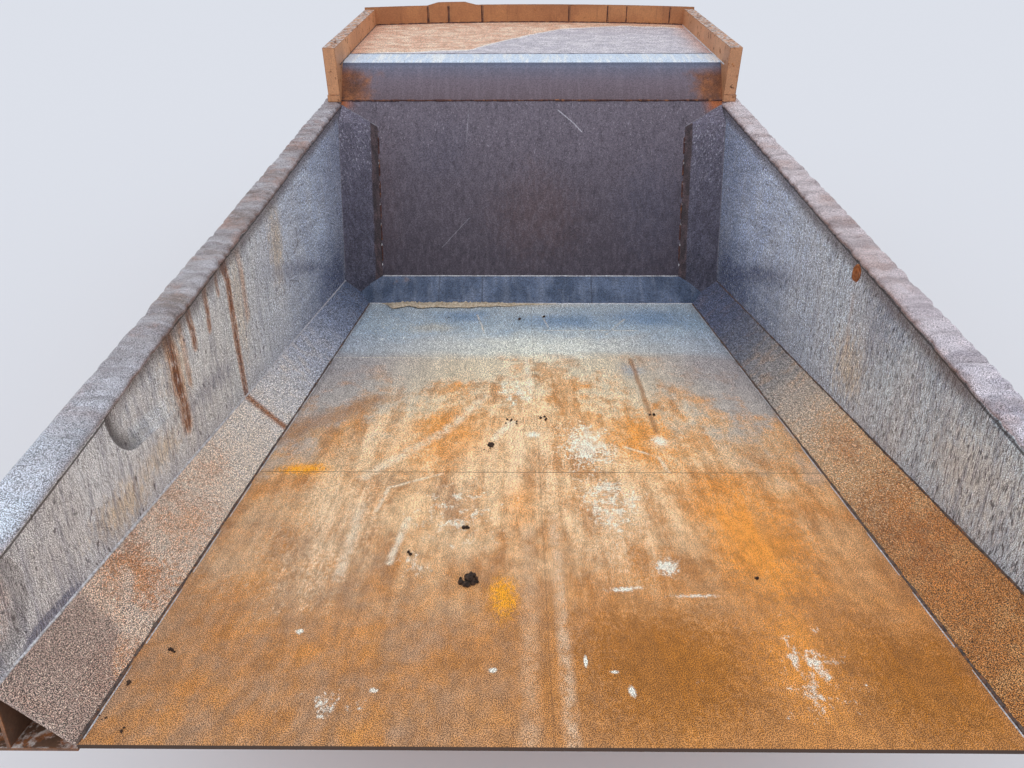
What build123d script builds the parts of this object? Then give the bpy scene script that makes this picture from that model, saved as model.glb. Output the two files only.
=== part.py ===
import os
from math import cos, radians, sin, sqrt, tan

from build123d import *

os.makedirs("parts", exist_ok=True)

# tipping body in travel attitude, top rails level, origin on the pivot axis;
# "along" runs up the floor from its tail edge and "up" stands off the floor
floor_slope = radians(12.19)
pivot_along = 1950
pivot_up = -450

inner_half = 1860
corner_rise = 230
floor_length = 5424
rear_plate = 1920
middle_plate = 1980

floor_plate = 20
shell_plate = 12
folded_plate = 10

wall_tail_height = 620
rail_width = 195
rail_depth = 150
rail_round = 40

head_lean = radians(21.93)
knee_lean = radians(40.2)
seam_rise = 1580
canopy_rise = 306
knee_radius = 130
knee_flat = 378
canopy_length = 2330
canopy_bow = 240
lip_height = 200
lip_plate = 20
bump_x = -945
bump_half = 160
bump_ease = 135
bump_rise = 34

side_height = 176

post_setback = 24
post_depth = 150
side_width = 116
collar_height = 62
collar_proud = 8

gusset_wall = 190
gusset_width = 230
gusset_stand = 50
gusset_return = 115
gusset_height = 1480
gusset_peak = 180

bolster_rows = 6
bolster_first = 1000
bolster_last_gap = 124
bolster_width = 180
bolster_depth = 150

rib_top_depth = 150
rib_knee_depth = 180
rib_foot_depth = 90
rib_knee_up = 110

tail_box = 200
tail_slant = 160

beam_x = 450
beam_width = 140
beam_depth = 300
beam_taper = 300

ear_plate = 45
ear_radius = 110
ear_rear = 390
ear_front = 430
ear_waist = 50
pivot_radius = 50
pivot_ring = 8
pivot_ring_width = 40

hoist_drop = 55
hoist_plate = 30
hoist_gap = 90
hoist_radius = 40
hoist_boss = 85
hoist_foot = 210

pad_long = 300
pad_wide = 110
pad_thick = 35

guide_plate = 25
guide_long = 320
guide_depth = 230
guide_lap = 110
guide_chamfer = 70

lug_x = 700
lug_plate = 30
lug_foot = 160
lug_radius = 55
lug_hole = 28
lug_drop = 90

head_rib_pitch = 820
head_rib_width = 160
head_rib_depth = 130
head_rib_foot = 90
head_rib_start = 40
head_beam_rise = 800
head_beam_tall = 170
head_beam_depth = 90
stiffener_taper = 30
canopy_beam_setback = 950
nose_width = 140
nose_depth = 150
nose_chamfer = 35

corner_post_width = 150
corner_post_proud = 30

ejector_x = 1320
ejector_up = -220
pin_radius = 22
pin_clearance = 0.3
pin_head_radius = 34
pin_head = 14
hub_radius = 46
hub_length = 90
hub_clearance = 0.5
cheek_plate = 20
cheek_radius = 55
cheek_foot = 140
bar_length = 900
bar_width = 60
bar_depth = 90
bar_point = 160
bar_tip = 36

far = 9000


def at(along, up):
    y = (along - pivot_along) * cos(floor_slope) + (up - pivot_up) * sin(floor_slope)
    z = (pivot_along - along) * sin(floor_slope) + (up - pivot_up) * cos(floor_slope)
    return (y, z)


def mirrored(points, side):
    return [(side * x, up) for x, up in points]


tail_y, tail_z = at(0, 0)

# section plane of the floor: x to the right, y off the plate, z toward the tail
tail_frame = Plane(
    origin=(0, tail_y, tail_z),
    x_dir=(1, 0, 0),
    z_dir=(0, -cos(floor_slope), sin(floor_slope)),
)

# where the plates meet, worked out from the sizes above
floor_half = inner_half - corner_rise
under_floor = -floor_plate
bolster_bottom = under_floor - bolster_depth
beam_bottom = under_floor - beam_depth
skew = shell_plate * sqrt(2)
wall_out = inner_half + shell_plate
corner_out = inner_half + skew
side_out = inner_half + side_width

rail_top = at(0, wall_tail_height)[1]
rail_bottom = rail_top - rail_depth
rail_plane = Plane.XY.offset(rail_bottom)
tail_top = (rail_bottom - tail_z) / cos(floor_slope)

head_foot = floor_length + corner_rise
head_y, head_z = at(head_foot, corner_rise)
head_out = shell_plate / cos(head_lean)
seam_z = head_z + seam_rise
seam_y = head_y + seam_rise * tan(head_lean)
seam_out = seam_y + head_out
knee_out = shell_plate / cos(knee_lean)
canopy_top = seam_z + canopy_rise
under_canopy = canopy_top - shell_plate
knee_y = seam_y + canopy_rise * tan(knee_lean)
inner_knee_y = seam_y + knee_out + (under_canopy - seam_z) * tan(knee_lean)
knee_end = knee_y + knee_flat
canopy_front = knee_y + canopy_length
lip_front = canopy_front + lip_plate
lip_top = canopy_top + lip_height
side_top = canopy_top + side_height
post_y = seam_y - post_setback
rail_end = post_y + post_depth
wall_front = head_y + (rail_bottom - head_z) * tan(head_lean)

bolster_last = floor_length - bolster_last_gap
bolster_pitch = (bolster_last - bolster_first) / (bolster_rows - 1)
rows = [bolster_first + bolster_pitch * row for row in range(bolster_rows)]
ejector_along = (rows[1] + rows[2]) / 2
hoist_along = (rows[3] + rows[4]) / 2
pad_rows = rows[2:5]

beam_in = beam_x - beam_width / 2
beam_out = beam_x + beam_width / 2
beam_end = bolster_last + bolster_width / 2

sides = [("left", -1), ("right", 1)]


# the canopy's front edge bows forward: the three points of that arc, so far ahead of it
def bowed(ahead):
    corner_y = canopy_front - canopy_bow + ahead
    return [(-side_out, corner_y), (0, canopy_front + ahead), (side_out, corner_y)]


# outline of the strip between two such arcs, the back one first
def bowed_strip(back, ahead):
    rear, fore = bowed(back), bowed(ahead)
    ThreePointArc(*rear)
    Line(rear[2], fore[2])
    ThreePointArc(*fore)
    Line(fore[0], rear[0])


# name, start, end along the floor
floor_plates = [
    ("rear", 0, rear_plate),
    ("middle", rear_plate, rear_plate + middle_plate),
    ("front", rear_plate + middle_plate, floor_length),
]
for name, start, end in floor_plates:
    for hand, side in sides:
        with BuildPart() as floor:
            with BuildSketch(tail_frame.offset(-start)):
                with Locations((side * floor_half / 2, under_floor / 2)):
                    Rectangle(floor_half, floor_plate)
            extrude(amount=start - end)
        floor.part.label = f"floor_{name}_{hand}"
        export_step(floor.part, f"parts/floor_{name}_{hand}.step")

# 45 degree plates along both edges of the floor, mitred to the fillet plate
mitre_origin = at(floor_length, 0)
mitre_run = (-cos(floor_slope), sin(floor_slope))
corner_section = [
    (floor_half, 0),
    (inner_half, corner_rise),
    (corner_out, corner_rise),
    (floor_half, -skew),
]
for hand, side in sides:
    mitre = Plane(origin=(side * floor_half, *mitre_origin), z_dir=(side, *mitre_run))
    with BuildPart() as corner:
        with BuildSketch(tail_frame):
            Polygon(*mirrored(corner_section, side), align=None)
        extrude(amount=-far)
        split(bisect_by=mitre, keep=Keep.TOP)
    corner.part.label = f"corner_plate_{hand}"
    export_step(corner.part, f"parts/corner_plate_{hand}.step")

fillet_section = [
    at(floor_length, 0),
    at(head_foot, corner_rise),
    at(head_foot + skew, corner_rise),
    at(floor_length, -skew),
]
with BuildPart() as fillet_plate:
    with BuildSketch(Plane.YZ):
        Polygon(*fillet_section, align=None)
    extrude(amount=far, both=True)
    for hand, side in sides:
        mitre = Plane(origin=(side * floor_half, *mitre_origin), z_dir=(side, *mitre_run))
        split(bisect_by=mitre, keep=Keep.BOTTOM)
fillet_plate.part.label = "head_fillet_plate"
export_step(fillet_plate.part, "parts/head_fillet_plate.step")

wall_profile = [
    at(0, corner_rise),
    (head_y + head_out, head_z),
    (wall_front + head_out, rail_bottom),
    at(0, tail_top),
]
for hand, side in sides:
    with BuildPart() as wall:
        with BuildSketch(Plane.YZ.offset(side * inner_half)):
            Polygon(*wall_profile, align=None)
        extrude(amount=side * shell_plate)
    wall.part.label = f"side_wall_{hand}"
    export_step(wall.part, f"parts/side_wall_{hand}.step")

# box rails with rounded crowns, closed at both ends
rail_bore_width = rail_width - 2 * shell_plate
rail_bore_depth = rail_depth - 2 * shell_plate
for hand, side in sides:
    rail_x = side * (inner_half + rail_width / 2)
    rail_centre = (rail_x, (rail_top + rail_bottom) / 2)
    with BuildPart() as rail_bore:
        with BuildSketch(Plane.XZ.offset(shell_plate - rail_end)):
            with Locations(rail_centre):
                RectangleRounded(rail_bore_width, rail_bore_depth, rail_round - shell_plate)
        extrude(amount=far)
        split(bisect_by=tail_frame.offset(-shell_plate), keep=Keep.BOTTOM)
    with BuildPart() as rail:
        with BuildSketch(Plane.XZ.offset(-rail_end)):
            with Locations(rail_centre):
                Rectangle(rail_width, rail_depth)
        extrude(amount=far)
        crown = rail.edges().filter_by(Axis.Y).group_by(Axis.Z)[-1]
        fillet(crown, rail_round)
        split(bisect_by=tail_frame, keep=Keep.BOTTOM)
        add(rail_bore.part, mode=Mode.SUBTRACT)
    rail.part.label = f"top_rail_{hand}"
    export_step(rail.part, f"parts/top_rail_{hand}.step")

# headboard between the walls, then the bent plate over the knee
with BuildPart() as headboard:
    with BuildSketch(Plane.YZ):
        Polygon(
            (head_y, head_z),
            (seam_y, seam_z),
            (seam_out, seam_z),
            (head_y + head_out, head_z),
            align=None,
        )
    extrude(amount=inner_half, both=True)
headboard.part.label = "headboard"
export_step(headboard.part, "parts/headboard.step")

with BuildPart() as knee:
    with BuildSketch(Plane.YZ):
        with BuildLine():
            FilletPolyline(
                (seam_y, seam_z),
                (knee_y, canopy_top),
                (knee_end, canopy_top),
                radius=knee_radius + shell_plate,
            )
            FilletPolyline(
                (seam_y + knee_out, seam_z),
                (inner_knee_y, under_canopy),
                (knee_end, under_canopy),
                radius=knee_radius,
            )
            Line((seam_y, seam_z), (seam_y + knee_out, seam_z))
            Line((knee_end, canopy_top), (knee_end, under_canopy))
        make_face()
    extrude(amount=inner_half, both=True)
knee.part.label = "headboard_knee"
export_step(knee.part, "parts/headboard_knee.step")

with BuildPart() as canopy:
    with BuildSketch(Plane.XY.offset(under_canopy)):
        with BuildLine():
            bowed_strip(-far, 0)
        make_face()
        with Locations((0, knee_end)):
            Rectangle(2 * inner_half, far, align=(Align.CENTER, Align.MIN), mode=Mode.INTERSECT)
    extrude(amount=shell_plate)
canopy.part.label = "canopy_plate"
export_step(canopy.part, "parts/canopy_plate.step")

# upstand across the whole front of the canopy, its upper edge bent up at one place
lip_outline = [
    (-side_out, under_canopy),
    (-side_out, lip_top),
    (bump_x - bump_half - bump_ease, lip_top),
    (bump_x - bump_half, lip_top + bump_rise),
    (bump_x + bump_half, lip_top + bump_rise),
    (bump_x + bump_half + bump_ease, lip_top),
    (side_out, lip_top),
    (side_out, under_canopy),
]
with BuildPart() as lip:
    with BuildSketch(Plane.XY.offset(under_canopy)):
        with BuildLine():
            bowed_strip(0, lip_plate)
        make_face()
    extrude(amount=far)
    with BuildSketch(Plane.XZ):
        Polygon(*lip_outline, align=None)
    extrude(amount=-far, mode=Mode.INTERSECT)
lip.part.label = "canopy_lip"
export_step(lip.part, "parts/canopy_lip.step")

# folded canopy sides, open below, each with its rear post and foot collar
side_profile = [
    (post_y, rail_top),
    (post_y, side_top),
    (canopy_front, side_top),
    (canopy_front, under_canopy),
    (rail_end + post_depth, under_canopy),
    (rail_end, under_canopy - post_depth),
    (rail_end, rail_top),
]
side_hollow = [
    (post_y + folded_plate, rail_bottom),
    (post_y + folded_plate, side_top - folded_plate),
    (canopy_front + folded_plate, side_top - folded_plate),
    (canopy_front + folded_plate, rail_bottom),
]
for hand, side in sides:
    with BuildPart() as canopy_side:
        with BuildSketch(Plane.YZ.offset(side * inner_half)):
            Polygon(*side_profile, align=None)
        extrude(amount=side * side_width)
        with BuildSketch(Plane.YZ.offset(side * inner_half)):
            with Locations((post_y, rail_top + collar_height / 2)):
                Rectangle(2 * collar_proud, collar_height)
        extrude(amount=side * (side_width + collar_proud))
        with BuildSketch(Plane.YZ.offset(side * side_out)):
            with Locations(((post_y + rail_end) / 2, rail_top + collar_height / 2)):
                Rectangle(post_depth, collar_height)
        extrude(amount=side * collar_proud)
        with BuildSketch(Plane.YZ.offset(side * (inner_half + folded_plate))):
            Polygon(*side_hollow, align=None)
        extrude(amount=side * (side_width - 2 * folded_plate), mode=Mode.SUBTRACT)
        with BuildSketch(Plane.XY.offset(under_canopy)):
            with BuildLine():
                bowed_strip(0, far)
            make_face()
        extrude(amount=far, mode=Mode.SUBTRACT)
    canopy_side.part.label = f"canopy_side_{hand}"
    export_step(canopy_side.part, f"parts/canopy_side_{hand}.step")

# bent plates closing the two head corners, sloped at the top; section plane of
# the headboard: z up its face, y out of the load space
head_frame = Plane(
    origin=(0, head_y, head_z),
    x_dir=(1, 0, 0),
    z_dir=(0, sin(head_lean), cos(head_lean)),
)
gusset_fold_x = inner_half - gusset_width
gusset_head_x = gusset_fold_x - gusset_return
gusset_start = -(corner_rise + gusset_wall)
gusset_section = [
    (inner_half, -gusset_wall),
    (gusset_fold_x, -gusset_stand),
    (gusset_head_x, 0),
    (inner_half, 0),
]
gusset_hollow = [
    (inner_half + shell_plate, skew - gusset_wall - shell_plate),
    (gusset_fold_x, skew - gusset_stand),
    (gusset_head_x + gusset_return / 2, 0),
    (gusset_head_x + gusset_return / 2, shell_plate),
    (inner_half + shell_plate, shell_plate),
]
fillet_rise = sin(floor_slope) - cos(floor_slope), cos(floor_slope) + sin(floor_slope)
for hand, side in sides:
    fold = head_frame.from_local_coords(
        Vector(side * gusset_fold_x, -gusset_stand, gusset_height)
    )
    wall_edge = head_frame.from_local_coords(
        Vector(side * inner_half, -gusset_wall, gusset_height)
    )
    peak = head_frame.from_local_coords(
        Vector(side * inner_half, 0, gusset_height + gusset_peak)
    )
    cap_side = (wall_edge - fold).cross(peak - fold) * side
    cap = Plane(origin=fold, z_dir=cap_side * -1)
    corner_face = Plane(
        origin=(side * floor_half, tail_y, tail_z),
        z_dir=(-side, sin(floor_slope), cos(floor_slope)),
    )
    fillet_face = Plane(origin=(0, *mitre_origin), z_dir=(0, *fillet_rise))
    with BuildPart() as gusset_core:
        with BuildSketch(head_frame.offset(gusset_start)):
            Polygon(*mirrored(gusset_hollow, side), align=None)
        extrude(amount=far)
        split(bisect_by=cap.offset(shell_plate), keep=Keep.TOP)
    with BuildPart() as gusset:
        with BuildSketch(head_frame.offset(gusset_start)):
            Polygon(*mirrored(gusset_section, side), align=None)
        extrude(amount=far)
        split(bisect_by=cap, keep=Keep.TOP)
        add(gusset_core.part, mode=Mode.SUBTRACT)
        split(bisect_by=corner_face, keep=Keep.TOP)
        split(bisect_by=fillet_face, keep=Keep.TOP)
    gusset.part.label = f"corner_gusset_{hand}"
    export_step(gusset.part, f"parts/corner_gusset_{hand}.step")

# cross channels under the floor, broken by the two long beams
bolster_mid = (under_floor + bolster_bottom) / 2
bolster_side = (beam_out + floor_half) / 2
# centre across, width across
bolster_spans = [
    (-bolster_side, floor_half - beam_out),
    (0, 2 * beam_in),
    (bolster_side, floor_half - beam_out),
]
with BuildPart() as bolsters:
    for row in rows:
        channel = tail_frame.offset(bolster_width / 2 - row)
        for centre, width in bolster_spans:
            with BuildSketch(channel):
                with Locations((centre, bolster_mid)):
                    Rectangle(width, bolster_depth)
            extrude(amount=-bolster_width)
            with BuildSketch(channel.offset(-folded_plate)):
                with Locations((centre, bolster_mid + folded_plate)):
                    Rectangle(width, bolster_depth)
            extrude(amount=2 * folded_plate - bolster_width, mode=Mode.SUBTRACT)
bolsters.part.label = "floor_bolsters"
export_step(bolsters.part, "parts/floor_bolsters.step")

# tapered channel ribs up both sides, one off the end of each cross channel
rib_top_x = inner_half + rib_top_depth
rib_knee_x = inner_half + rib_knee_depth
rib_foot_x = floor_half + rib_foot_depth
rib_section = [
    (wall_out, far),
    (wall_out, corner_rise),
    (corner_out, corner_rise),
    (floor_half, -skew),
    (floor_half, bolster_bottom),
    (rib_foot_x, bolster_bottom),
    (rib_knee_x, rib_knee_up),
    (rib_top_x, seam_rise),
    (rib_top_x, far),
]
rib_hollow = [
    (0, far),
    (0, bolster_bottom + folded_plate),
    (rib_foot_x - folded_plate / 2, bolster_bottom + folded_plate),
    (rib_knee_x - folded_plate, rib_knee_up + folded_plate / 2),
    (rib_top_x - folded_plate, seam_rise),
    (rib_top_x - folded_plate, far),
]
for hand, side in sides:
    with BuildPart() as ribs:
        for row in rows:
            channel = tail_frame.offset(bolster_width / 2 - row)
            with BuildSketch(channel):
                Polygon(*mirrored(rib_section, side), align=None)
            extrude(amount=-bolster_width)
            with BuildSketch(channel.offset(-folded_plate)):
                Polygon(*mirrored(rib_hollow, side), align=None)
            extrude(amount=2 * folded_plate - bolster_width, mode=Mode.SUBTRACT)
        split(bisect_by=rail_plane, keep=Keep.BOTTOM)
    ribs.part.label = f"side_ribs_{hand}"
    export_step(ribs.part, f"parts/side_ribs_{hand}.step")

# box across the tail, open at the top, its rear sloped in under the floor's edge
slant = tail_slant / bolster_depth
slant_skew = folded_plate * sqrt(1 + slant**2)
tail_hollow_foot = bolster_bottom + folded_plate
tail_profile = [
    at(0, under_floor),
    at(tail_box, under_floor),
    at(tail_box, bolster_bottom),
    at(tail_slant, bolster_bottom),
]
tail_hollow = [
    at(slant_skew, under_floor),
    at(tail_box - folded_plate, under_floor),
    at(tail_box - folded_plate, tail_hollow_foot),
    at(tail_slant + slant_skew - folded_plate * slant, tail_hollow_foot),
]
with BuildPart() as tail_beam:
    with BuildSketch(Plane.YZ.offset(-floor_half)):
        Polygon(*tail_profile, align=None)
    extrude(amount=2 * floor_half)
    with BuildSketch(Plane.YZ.offset(folded_plate - floor_half)):
        Polygon(*tail_hollow, align=None)
    extrude(amount=2 * (floor_half - folded_plate), mode=Mode.SUBTRACT)
tail_beam.part.label = "tail_beam"
export_step(tail_beam.part, "parts/tail_beam.step")

# post at each end of the tail beam, open behind the corner plate
flange_foot = under_floor - shell_plate
corner_drop = -(floor_half + skew)
outer_web = [
    (rib_knee_x - shell_plate, flange_foot),
    (rib_knee_x, flange_foot),
    (rib_knee_x, far),
    (rib_knee_x - shell_plate, far),
]
flange = [
    (floor_half, flange_foot),
    (rib_knee_x, flange_foot),
    (rib_knee_x, under_floor),
    (floor_half, under_floor),
]
rear_closing = [
    (wall_out, corner_rise),
    (rib_knee_x, corner_rise),
    (rib_knee_x, far),
    (wall_out, far),
]
bulkhead = [
    (floor_half, flange_foot),
    (rib_knee_x, flange_foot),
    (rib_knee_x, far),
    (wall_out, far),
    (wall_out, corner_rise),
    (corner_out, corner_rise),
    (floor_half, -skew),
]
wall_foot = [
    (inner_half, flange_foot),
    (wall_out, flange_foot),
    (wall_out, wall_out + corner_drop),
    (inner_half, inner_half + corner_drop),
]
# outline, start, end along the floor
tail_post_plates = [
    (outer_web, 0, tail_box),
    (flange, 0, tail_box),
    (wall_foot, 0, tail_box),
    (rear_closing, 0, shell_plate),
    (bulkhead, tail_box - shell_plate, tail_box),
]
for hand, side in sides:
    with BuildPart() as tail_post:
        for outline, start, end in tail_post_plates:
            with BuildSketch(tail_frame.offset(-start)):
                Polygon(*mirrored(outline, side), align=None)
            extrude(amount=start - end)
        split(bisect_by=rail_plane, keep=Keep.BOTTOM)
    tail_post.part.label = f"tail_post_{hand}"
    export_step(tail_post.part, f"parts/tail_post_{hand}.step")

# long box beams, tapered at both ends
beam_profile = [
    at(tail_box, under_floor),
    at(beam_end, under_floor),
    at(beam_end, bolster_bottom),
    at(beam_end - beam_taper, beam_bottom),
    at(tail_box + beam_taper, beam_bottom),
    at(tail_box, bolster_bottom),
]
beam_hollow = [
    at(0, under_floor - shell_plate),
    at(head_foot, under_floor - shell_plate),
    at(head_foot, beam_bottom + shell_plate),
    at(0, beam_bottom + shell_plate),
]
for hand, side in sides:
    with BuildPart() as beam:
        with BuildSketch(Plane.YZ.offset(side * beam_in)):
            Polygon(*beam_profile, align=None)
        extrude(amount=side * beam_width)
        with BuildSketch(Plane.YZ.offset(side * (beam_in + shell_plate))):
            Polygon(*beam_hollow, align=None)
        extrude(amount=side * (beam_width - 2 * shell_plate), mode=Mode.SUBTRACT)
    beam.part.label = f"main_beam_{hand}"
    export_step(beam.part, f"parts/main_beam_{hand}.step")

# pivot ears either side of each beam
ear_profile = [
    at(pivot_along - ear_rear, bolster_bottom),
    at(pivot_along + ear_front, bolster_bottom),
    at(pivot_along + ear_front - ear_waist, beam_bottom),
    (ear_radius, 0),
    (-ear_radius, 0),
    at(pivot_along - ear_rear + ear_waist, beam_bottom),
]
ring_radius = pivot_radius + pivot_ring_width
# start across, ring's face across, ring's way
ears = [(beam_in - ear_plate, beam_in - ear_plate, -1), (beam_out, beam_out + ear_plate, 1)]
for hand, side in sides:
    with BuildPart() as ear:
        for start, face, way in ears:
            with BuildSketch(Plane.YZ.offset(side * start)):
                Polygon(*ear_profile, align=None)
                Circle(ear_radius)
            extrude(amount=side * ear_plate)
            with BuildSketch(Plane.YZ.offset(side * face)):
                Circle(ring_radius)
            extrude(amount=side * way * pivot_ring)
        with BuildSketch(Plane.YZ):
            Circle(pivot_radius)
        extrude(amount=side * side_out, mode=Mode.SUBTRACT)
    ear.part.label = f"pivot_ears_{hand}"
    export_step(ear.part, f"parts/pivot_ears_{hand}.step")

# hoist cylinder brackets outside the beams, pins just under them
hoist_up = beam_bottom - hoist_drop
hoist_centre = at(hoist_along, hoist_up)
hoist_profile = [
    at(hoist_along - hoist_foot, under_floor),
    at(hoist_along + hoist_foot, under_floor),
    at(hoist_along + hoist_boss, hoist_up),
    at(hoist_along - hoist_boss, hoist_up),
]
for hand, side in sides:
    with BuildPart() as hoist:
        for start in (beam_out, beam_out + hoist_plate + hoist_gap):
            with BuildSketch(Plane.YZ.offset(side * start)):
                Polygon(*hoist_profile, align=None)
                with Locations(hoist_centre):
                    Circle(hoist_boss)
            extrude(amount=side * hoist_plate)
        with BuildSketch(Plane.YZ):
            with Locations(hoist_centre):
                Circle(hoist_radius)
        extrude(amount=side * side_out, mode=Mode.SUBTRACT)
    hoist.part.label = f"hoist_brackets_{hand}"
    export_step(hoist.part, f"parts/hoist_brackets_{hand}.step")

# rubber pads the beams rest on
pad_up = beam_bottom - pad_thick / 2
with BuildPart() as pads:
    for row in pad_rows:
        with BuildSketch(tail_frame.offset(pad_long / 2 - row)):
            with Locations((-beam_x, pad_up), (beam_x, pad_up)):
                Rectangle(pad_wide, pad_thick)
        extrude(amount=-pad_long)
pads.part.label = "body_pads"
export_step(pads.part, "parts/body_pads.step")

# guide plates inside the beams that centre the lowered body
guide_row = (rows[4] + rows[5]) / 2
guide_top = beam_bottom + guide_lap
guide_profile = [
    at(guide_row - guide_long / 2, guide_top),
    at(guide_row + guide_long / 2, guide_top),
    at(guide_row + guide_long / 2, guide_top - guide_depth + guide_chamfer),
    at(guide_row + guide_long / 2 - guide_chamfer, guide_top - guide_depth),
    at(guide_row - guide_long / 2 + guide_chamfer, guide_top - guide_depth),
    at(guide_row - guide_long / 2, guide_top - guide_depth + guide_chamfer),
]
with BuildPart() as guides:
    for hand, side in sides:
        with BuildSketch(Plane.YZ.offset(side * beam_in)):
            Polygon(*guide_profile, align=None)
        extrude(amount=-side * guide_plate)
guides.part.label = "body_guides"
export_step(guides.part, "parts/body_guides.step")

# lugs under the rearmost cross beam for the strap that holds the raised body
lug_up = bolster_bottom - lug_drop
lug_along = bolster_first
lug_centre = at(lug_along, lug_up)
lug_profile = [
    at(lug_along - lug_foot / 2, bolster_bottom),
    at(lug_along + lug_foot / 2, bolster_bottom),
    at(lug_along + lug_radius, lug_up),
    at(lug_along - lug_radius, lug_up),
]
with BuildPart() as lugs:
    for hand, side in sides:
        with BuildSketch(Plane.YZ.offset(side * lug_x)):
            Polygon(*lug_profile, align=None)
            with Locations(lug_centre):
                Circle(lug_radius)
                Circle(lug_hole, mode=Mode.SUBTRACT)
        extrude(amount=side * lug_plate)
lugs.part.label = "strap_lugs"
export_step(lugs.part, "parts/strap_lugs.step")

# bent channel ribs up the headboard, round the knee and out under the canopy
nose_back = lip_plate - nose_width
rib_end = canopy_front + nose_back
rib_reach = head_rib_depth / cos(head_lean)
rib_start_z = head_z + head_rib_start
rib_start_y = head_y + head_out + head_rib_start * tan(head_lean)
rib_under = under_canopy - head_rib_depth
rib_bend_y = seam_out + rib_reach + (rib_under - seam_z) * tan(head_lean)
knee_ease = 2 * knee_radius
rib_outer = [
    (rib_end, rib_under + stiffener_taper),
    (rib_bend_y + knee_ease, rib_under - stiffener_taper),
    (seam_out + rib_reach, seam_z - stiffener_taper),
    (rib_start_y + rib_reach, rib_start_z + head_rib_foot),
    (rib_start_y, rib_start_z),
    (seam_out, seam_z),
    (seam_y + knee_out, seam_z),
]
rib_skin = folded_plate / cos(head_lean)
rib_inside = [
    (canopy_front, canopy_top),
    (canopy_front, rib_under + stiffener_taper + folded_plate),
    (rib_bend_y + knee_ease, rib_under - stiffener_taper + folded_plate),
    (seam_out + rib_reach - rib_skin, seam_z - stiffener_taper),
    (rib_start_y + rib_reach - rib_skin, rib_start_z + head_rib_foot + rib_skin),
    (head_y, head_z + head_rib_start),
    (seam_y, seam_z),
    (knee_y, canopy_top),
]
head_rib_x = [head_rib_pitch * (place - 1.5) for place in range(4)]
with BuildPart() as head_ribs:
    for x in head_rib_x:
        with BuildSketch(Plane.YZ.offset(x - head_rib_width / 2)):
            with BuildLine():
                FilletPolyline(
                    (seam_y + knee_out, seam_z),
                    (inner_knee_y, under_canopy),
                    (rib_end, under_canopy),
                    radius=knee_radius,
                )
                Polyline((rib_end, under_canopy), *rib_outer)
            make_face()
        extrude(amount=head_rib_width)
        with BuildSketch(Plane.YZ.offset(x - head_rib_width / 2 + folded_plate)):
            Polygon(*rib_inside, align=None)
        extrude(amount=head_rib_width - 2 * folded_plate, mode=Mode.SUBTRACT)
    with BuildSketch(Plane.XY.offset(seam_z)):
        with BuildLine():
            bowed_strip(nose_back, far)
        make_face()
    extrude(amount=far, mode=Mode.SUBTRACT)
head_ribs.part.label = "head_ribs"
export_step(head_ribs.part, "parts/head_ribs.step")

# short channels between those ribs, across the headboard and under the canopy
rib_half = head_rib_width / 2
edges = [-inner_half, *head_rib_x, inner_half]
spans = []
for place in range(len(edges) - 1):
    low = edges[place] + (rib_half if place > 0 else 0)
    high = edges[place + 1] - (rib_half if place < len(edges) - 2 else 0)
    spans.append((low, high - low))
head_beam_low = head_z + head_beam_rise
head_beam_y = head_y + head_out + head_beam_rise * tan(head_lean)
tall_y = head_beam_tall * tan(head_lean)
head_beam_profile = [
    (head_beam_y, head_beam_low),
    (head_beam_y + tall_y, head_beam_low + head_beam_tall),
    (head_beam_y + tall_y + head_beam_depth, head_beam_low + head_beam_tall - stiffener_taper),
    (head_beam_y + head_beam_depth, head_beam_low + stiffener_taper),
]
with BuildPart() as head_beams:
    for low, width in spans:
        with BuildSketch(Plane.YZ.offset(low)):
            Polygon(*head_beam_profile, align=None)
            offset(amount=-folded_plate, mode=Mode.SUBTRACT)
        extrude(amount=width)
head_beams.part.label = "head_cross_beams"
export_step(head_beams.part, "parts/head_cross_beams.step")

canopy_beam_y = canopy_front - canopy_beam_setback
canopy_beam_profile = [
    (canopy_beam_y, under_canopy),
    (canopy_beam_y + head_beam_tall, under_canopy),
    (canopy_beam_y + head_beam_tall - stiffener_taper, under_canopy - head_beam_depth),
    (canopy_beam_y + stiffener_taper, under_canopy - head_beam_depth),
]
with BuildPart() as canopy_beams:
    for low, width in spans:
        with BuildSketch(Plane.YZ.offset(low)):
            Polygon(*canopy_beam_profile, align=None)
            offset(amount=-folded_plate, mode=Mode.SUBTRACT)
        extrude(amount=width)
canopy_beams.part.label = "canopy_cross_beams"
export_step(canopy_beams.part, "parts/canopy_cross_beams.step")

# box under the front edge of the canopy
nose_bottom = under_canopy - nose_depth
with BuildPart() as nose:
    with BuildSketch(Plane.XY.offset(nose_bottom)):
        with BuildLine():
            bowed_strip(nose_back, lip_plate)
        make_face()
    extrude(amount=nose_depth)
    fore_edge = nose.edges().filter_by(GeomType.CIRCLE).group_by(Axis.Z)[0].sort_by(Axis.Y)[-1]
    chamfer(fore_edge, nose_chamfer)
    with BuildSketch(Plane.XY.offset(nose_bottom + folded_plate)):
        with BuildLine():
            bowed_strip(nose_back + folded_plate, lip_plate - folded_plate - nose_chamfer / 2)
        make_face()
        with Locations((0, canopy_front)):
            Rectangle(2 * (side_out - folded_plate), far, mode=Mode.INTERSECT)
    extrude(amount=nose_depth - 2 * folded_plate, mode=Mode.SUBTRACT)
nose.part.label = "canopy_nose_beam"
export_step(nose.part, "parts/canopy_nose_beam.step")

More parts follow.
